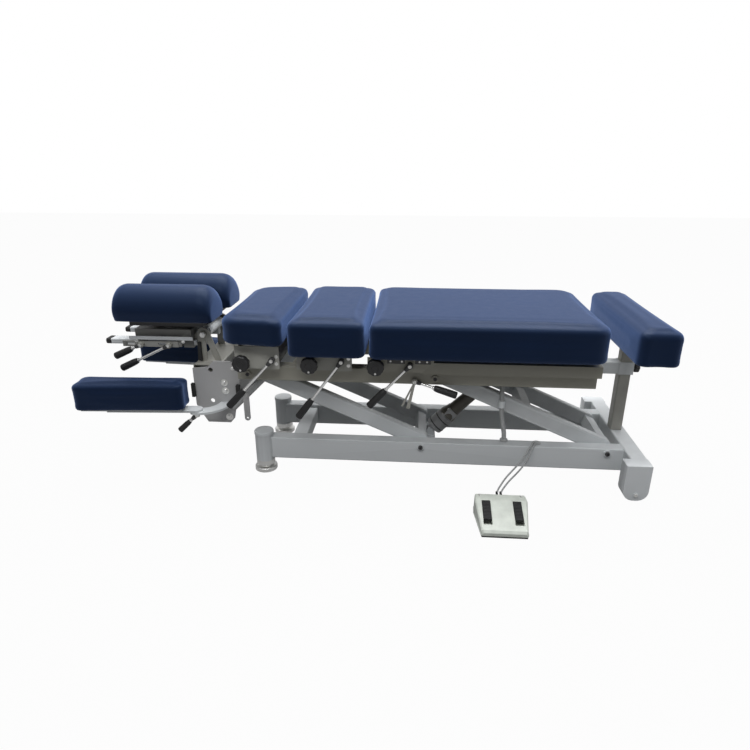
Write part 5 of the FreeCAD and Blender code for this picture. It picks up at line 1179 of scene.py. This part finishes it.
class TABLE_OT_pedal(bpy.types.Operator):
    """Dress the foot pedal"""
    bl_idname = "table.pedal"
    bl_label = "Pedal"

    def execute(self, context):
        slope = math.atan2(PEDAL_BACK_HEIGHT - PEDAL_FRONT_HEIGHT, PEDAL_FOLD - PEDAL_FRONT)
        self.case()
        for name, sign in (("left", -1), ("right", 1)):
            self.rocker(name, PEDAL_MIDDLE + sign * ROCKER_OFFSET, slope)
        for number, seat in enumerate(PEDAL_SCREWS, start=1):
            cap_screw(f"pedal_screw_{number}", seat, Z_AXIS, 0.0042, "base")
        for number, offset in enumerate((-0.006, 0.006), start=1):
            turned(f"pedal_relief_{number}", (PEDAL_MIDDLE + offset, PEDAL_BACK - 0.001, 0.044),
                   Y_AXIS, CORD_RELIEF, "rubber", "base", 28)
        return {"FINISHED"}

    def case(self):
        """Moulded wedge that narrows towards its front, with a slot for each rocker."""
        sections = []
        for y, top, half in ((PEDAL_BACK, PEDAL_BACK_HEIGHT - 0.006, 0.0765),
                             (PEDAL_BACK - 0.004, PEDAL_BACK_HEIGHT, 0.0800),
                             (PEDAL_FOLD, PEDAL_BACK_HEIGHT, 0.0825),
                             (PEDAL_FRONT + 0.006, PEDAL_FRONT_HEIGHT + 0.002, 0.0705),
                             (PEDAL_FRONT, PEDAL_FRONT_HEIGHT - 0.005, 0.0670)):
            left, right = PEDAL_MIDDLE - half, PEDAL_MIDDLE + half
            sections += [(left, y, PEDAL_FLOOR), (left, y, PEDAL_FLOOR + PEDAL_WALL),
                         (left + 0.001, y, 0.010), (left + 0.002, y, top - 0.004),
                         (left + 0.006, y, top), (right - 0.006, y, top),
                         (right - 0.002, y, top - 0.004), (right - 0.001, y, 0.010),
                         (right, y, PEDAL_FLOOR + PEDAL_WALL), (right, y, PEDAL_FLOOR)]
        case = piece("pedal_case", sections, ring_faces(5, 10), "pedal", "base", False)
        cutters = [self.slot_cutter(PEDAL_MIDDLE + sign * ROCKER_OFFSET) for sign in (-1, 1)]
        for cutter in cutters:
            modifier = case.modifiers.new("slot", "BOOLEAN")
            modifier.operation = "DIFFERENCE"
            modifier.object = cutter
            modifier.solver = "EXACT"
        apply_modifiers(case)
        for cutter in cutters:
            bpy.data.objects.remove(cutter)
        painted(case.data, "pedal")
        bevelled(case, 0.0012, 3)
        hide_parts("pedal_housing")
        sole = plate_piece("pedal_sole", PEDAL_SOLE, PEDAL_FLOOR,
                           (PEDAL_MIDDLE, -0.428, PEDAL_FLOOR / 2), X_AXIS, Y_AXIS, "rubber",
                           "base", 0.001)

    def slot_cutter(self, middle):
        low = (middle - 0.0130, PEDAL_FRONT + 0.026, 0.012)
        high = (middle + 0.0130, PEDAL_FOLD - 0.0035, 0.080)
        return linked("cutter", closed_mesh("cutter", *box_mesh(low, high)))

    def rocker(self, name, middle, slope):
        """Ribbed tread on a rounded bar that lies along the pedal's slope."""
        down = Vector((0, -math.cos(slope), -math.sin(slope)))
        up = Vector((0, -math.sin(slope), math.cos(slope)))
        origin = Vector((middle, PEDAL_FOLD, PEDAL_BACK_HEIGHT)) + down * 0.005
        rows = [(0.0, -0.008), (0.0, 0.001), (0.002, 0.003)]
        place = 0.004
        while place < 0.067:
            rows += [(place, 0.0030), (place + 0.0008, 0.0044), (place + 0.0030, 0.0044),
                     (place + 0.0038, 0.0030)]
            place += bpy.context.scene.table_sizes.tread_pitch
        rows += [(0.070, 0.003), (0.072, 0.001), (0.072, -0.008)]
        vertices = []
        for across, drop in ((-0.012, 0.0012), (-0.0112, 0), (0.0112, 0), (0.012, 0.0012)):
            vertices += [origin + X_AXIS * across + down * along
                         + up * (level - (drop if level > 0 else 0)) for along, level in rows]
        tread = piece(f"{name}_tread", vertices, ring_faces(4, len(rows)), "rocker",
                      f"{name}_rocker", False)
        bevelled(tread, 0.0003, 1)
        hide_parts(f"{name}_rocker")


# Finishes of the CAD nodes that stay

NODE_FINISHES = {
    "coat": ("near_base_rail", "far_base_rail", "foot_beam", "base_cross_members", "head_arms",
             "foot_arms", "arm_bars", "near_arm_strip", "far_arm_strip", "head_rails",
             "ankle_bar", "base_bolts"),
    # cream_coat_and_painted_shade is partly painted shade: darker beige that stands in for the
    # shade under the cushions
    "cream_and_shade": ("chassis_frame", "pelvic_subframe", "chassis_bolts"),
    "zinc": ("near_side_plate", "far_side_plate", "hanging_link"),
    # bracket: partly painted shade, a darker olive for the carriers under the cushions
    "bracket": ("head_bracket", "upper_chest_carrier", "lower_chest_carrier", "ankle_post"),
    "pan": ("head_carriage",),
    "vinyl": ("pelvic_board",),
    "black_steel": ("head_plate",),
    "bolt": ("levelling_feet",),
    "cord": ("cable_glands",),
    "tyre": ("near_wheel", "far_wheel"),
    "motor": ("actuator_motor",),
    "chrome": ("actuator_rod",),
    "board": ("upper_chest_board", "lower_chest_board"),
}


class TABLE_OT_finishes(bpy.types.Operator):
    """Paint the steel, board and rubber parts of the frame"""
    bl_idname = "table.finishes"
    bl_label = "Finishes"

    def execute(self, context):
        for finish, names in NODE_FINISHES.items():
            for name in names:
                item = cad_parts[name]
                for slot in item.material_slots:
                    slot.material = finishes()[finish]
        return {"FINISHED"}


# Stage

# name, place, target, size, power
LIGHTS = (
    ("top_light", (-0.1, 0.7, 3.0), (0, 0, 0.4), (3.4, 2.2), 125),
    ("front_light", (-0.5, -2.2, 3.1), (0, 0, 0.1), (2.2, 0.7), 36),
    ("foot_light", (3.0, -1.0, 1.6), (0.2, 0, 0.3), (1.4, 1.4), 6),
    ("back_panel", (0, 3.6, 1.5), (0, 0, 0.55), (7.0, 1.8), 14),
)
CAMERA_PLACE = (-0.096, -1.928, 1.050)
CAMERA_DOWN = math.radians(21.0)
CAMERA_TURN = math.radians(4.3)
SENSOR_WIDTH = 36
FLOOR_HALF = 9.0
FLOOR_GREY = (0.22, 0.22, 0.22, 1)
WHITE = (1, 1, 1, 1)
FLOOR_SEEN = 0.97
WORLD_SEEN = 1.0
PALE_REFLECTION = 0.25
ROOM_STRENGTH = 0.62
# height as a share of the room, shade; the first two rows are the ramp's own stops
ROOM_SHADES = ((0.0, 0.07), (0.9, 1.0), (0.3, 0.15))


def area_light(name, place, target, size, power):
    data = bpy.data.lights.new(name, "AREA")
    data.shape = "RECTANGLE"
    data.size, data.size_y = size
    data.energy = power
    item = linked(name, data)
    item.location = place
    item.rotation_euler = (Vector(target) - Vector(place)).to_track_quat("-Z", "Y").to_euler()
    item.visible_camera = False


def pale_share(nodes, links, camera, glossy):
    """How much of a plain white background each kind of ray sees."""
    path = nodes.new("ShaderNodeLightPath")
    total = None
    for ray, share in (("Is Camera Ray", camera), ("Is Glossy Ray", glossy),
                       ("Is Transmission Ray", camera)):
        item = nodes.new("ShaderNodeMath")
        item.operation = "MULTIPLY"
        item.inputs[1].default_value = share
        links.new(path.outputs[ray], item.inputs[0])
        if total:
            most = nodes.new("ShaderNodeMath")
            most.operation = "MAXIMUM"
            links.new(total, most.inputs[0])
            links.new(item.outputs["Value"], most.inputs[1])
            total = most.outputs["Value"]
        else:
            total = item.outputs["Value"]
    return total


class TABLE_OT_stage(bpy.types.Operator):
    """Set the floor, the lights, the world and the camera"""
    bl_idname = "table.stage"
    bl_label = "Stage"

    def execute(self, context):
        scene = context.scene
        scene.view_settings.view_transform = "Standard"
        self.camera(scene)
        self.floor()
        self.world(scene)
        for light in LIGHTS:
            area_light(*light)
        return {"FINISHED"}

    def camera(self, scene):
        data = bpy.data.cameras.new("studio_camera")
        data.sensor_width = SENSOR_WIDTH
        data.sensor_fit = "HORIZONTAL"
        data.lens = scene.table_sizes.lens
        data.clip_start = 0.05
        data.clip_end = 60
        item = linked("studio_camera", data)
        item.location = CAMERA_PLACE
        item.rotation_euler = (math.pi / 2 - CAMERA_DOWN, 0, CAMERA_TURN)
        scene.camera = item

    def floor(self):
        """Pale floor that keeps the table's shadow and stays white to the camera."""
        half = FLOOR_HALF
        mesh = bpy.data.meshes.new("floor")
        mesh.from_pydata([(-half, -half, 0), (half, -half, 0), (half, half, 0), (-half, half, 0)],
                         [], [(0, 1, 2, 3)])
        item = linked("floor", mesh)
        material = bpy.data.materials.new("pale_floor")
        material.use_nodes = True
        nodes, links = material.node_tree.nodes, material.node_tree.links
        shader = nodes["Principled BSDF"]
        shader.inputs["Base Color"].default_value = FLOOR_GREY
        shader.inputs["Roughness"].default_value = 0.9
        shader.inputs["Specular IOR Level"].default_value = 0.1
        glow = nodes.new("ShaderNodeEmission")
        glow.inputs["Color"].default_value = WHITE
        glow.inputs["Strength"].default_value = 1.0
        mix = nodes.new("ShaderNodeMixShader")
        links.new(pale_share(nodes, links, FLOOR_SEEN, PALE_REFLECTION), mix.inputs["Fac"])
        links.new(shader.outputs["BSDF"], mix.inputs[1])
        links.new(glow.outputs["Emission"], mix.inputs[2])
        links.new(mix.outputs["Shader"], nodes["Material Output"].inputs["Surface"])
        mesh.materials.append(material)

    def world(self, scene):
        """White to the camera; to every other ray a studio that brightens to its ceiling."""
        world = bpy.data.worlds.new("studio")
        scene.world = world
        world.use_nodes = True
        nodes, links = world.node_tree.nodes, world.node_tree.links
        room = nodes["Background"]
        place = nodes.new("ShaderNodeTexCoord")
        split = nodes.new("ShaderNodeSeparateXYZ")
        ramp = nodes.new("ShaderNodeValToRGB")
        stops = ramp.color_ramp.elements
        for number, (level, shade) in enumerate(ROOM_SHADES):
            stop = stops[number] if number < 2 else stops.new(level)
            stop.position = level
            stop.color = (shade, shade, shade * 1.03, 1)
        room.inputs["Strength"].default_value = ROOM_STRENGTH
        seen = nodes.new("ShaderNodeBackground")
        seen.inputs["Color"].default_value = WHITE
        seen.inputs["Strength"].default_value = 1.0
        mix = nodes.new("ShaderNodeMixShader")
        links.new(place.outputs["Generated"], split.inputs["Vector"])
        links.new(split.outputs["Z"], ramp.inputs["Fac"])
        links.new(ramp.outputs["Color"], room.inputs["Color"])
        links.new(pale_share(nodes, links, WORLD_SEEN, PALE_REFLECTION), mix.inputs["Fac"])
        links.new(room.outputs["Background"], mix.inputs[1])
        links.new(seen.outputs["Background"], mix.inputs[2])
        links.new(mix.outputs["Shader"], nodes["World Output"].inputs["Surface"])


OPERATORS = (
    TABLE_OT_stage, TABLE_OT_cords, TABLE_OT_cushions, TABLE_OT_head_cushions, TABLE_OT_levers,
    TABLE_OT_knobs, TABLE_OT_fasteners, TABLE_OT_steelwork, TABLE_OT_actuator, TABLE_OT_pedal,
    TABLE_OT_finishes,
)


class TABLE_PT_panel(bpy.types.Panel):
    """Lists the table's colours, sizes and building steps"""
    bl_idname = "TABLE_PT_panel"
    bl_label = "Treatment table"
    bl_space_type = "VIEW_3D"
    bl_region_type = "UI"
    bl_category = "Table"

    def draw(self, context):
        column = self.layout.column(align=True)
        for group in (context.scene.table_colours, context.scene.table_sizes):
            for name in group.__annotations__:
                column.prop(group, name)
        for operator in OPERATORS:
            column.operator(operator.bl_idname)


CLASSES = (TableColours, TableSizes, *OPERATORS, TABLE_PT_panel)


def register():
    for item in CLASSES:
        bpy.utils.register_class(item)
    bpy.types.Scene.table_colours = bpy.props.PointerProperty(type=TableColours)
    bpy.types.Scene.table_sizes = bpy.props.PointerProperty(type=TableSizes)


def unregister():
    del bpy.types.Scene.table_sizes
    del bpy.types.Scene.table_colours
    for item in reversed(CLASSES):
        bpy.utils.unregister_class(item)


def main():
    register()
    for operator in OPERATORS:
        group, name = operator.bl_idname.split(".")
        getattr(getattr(bpy.ops, group), name)()


if __name__ == "__main__":
    main()
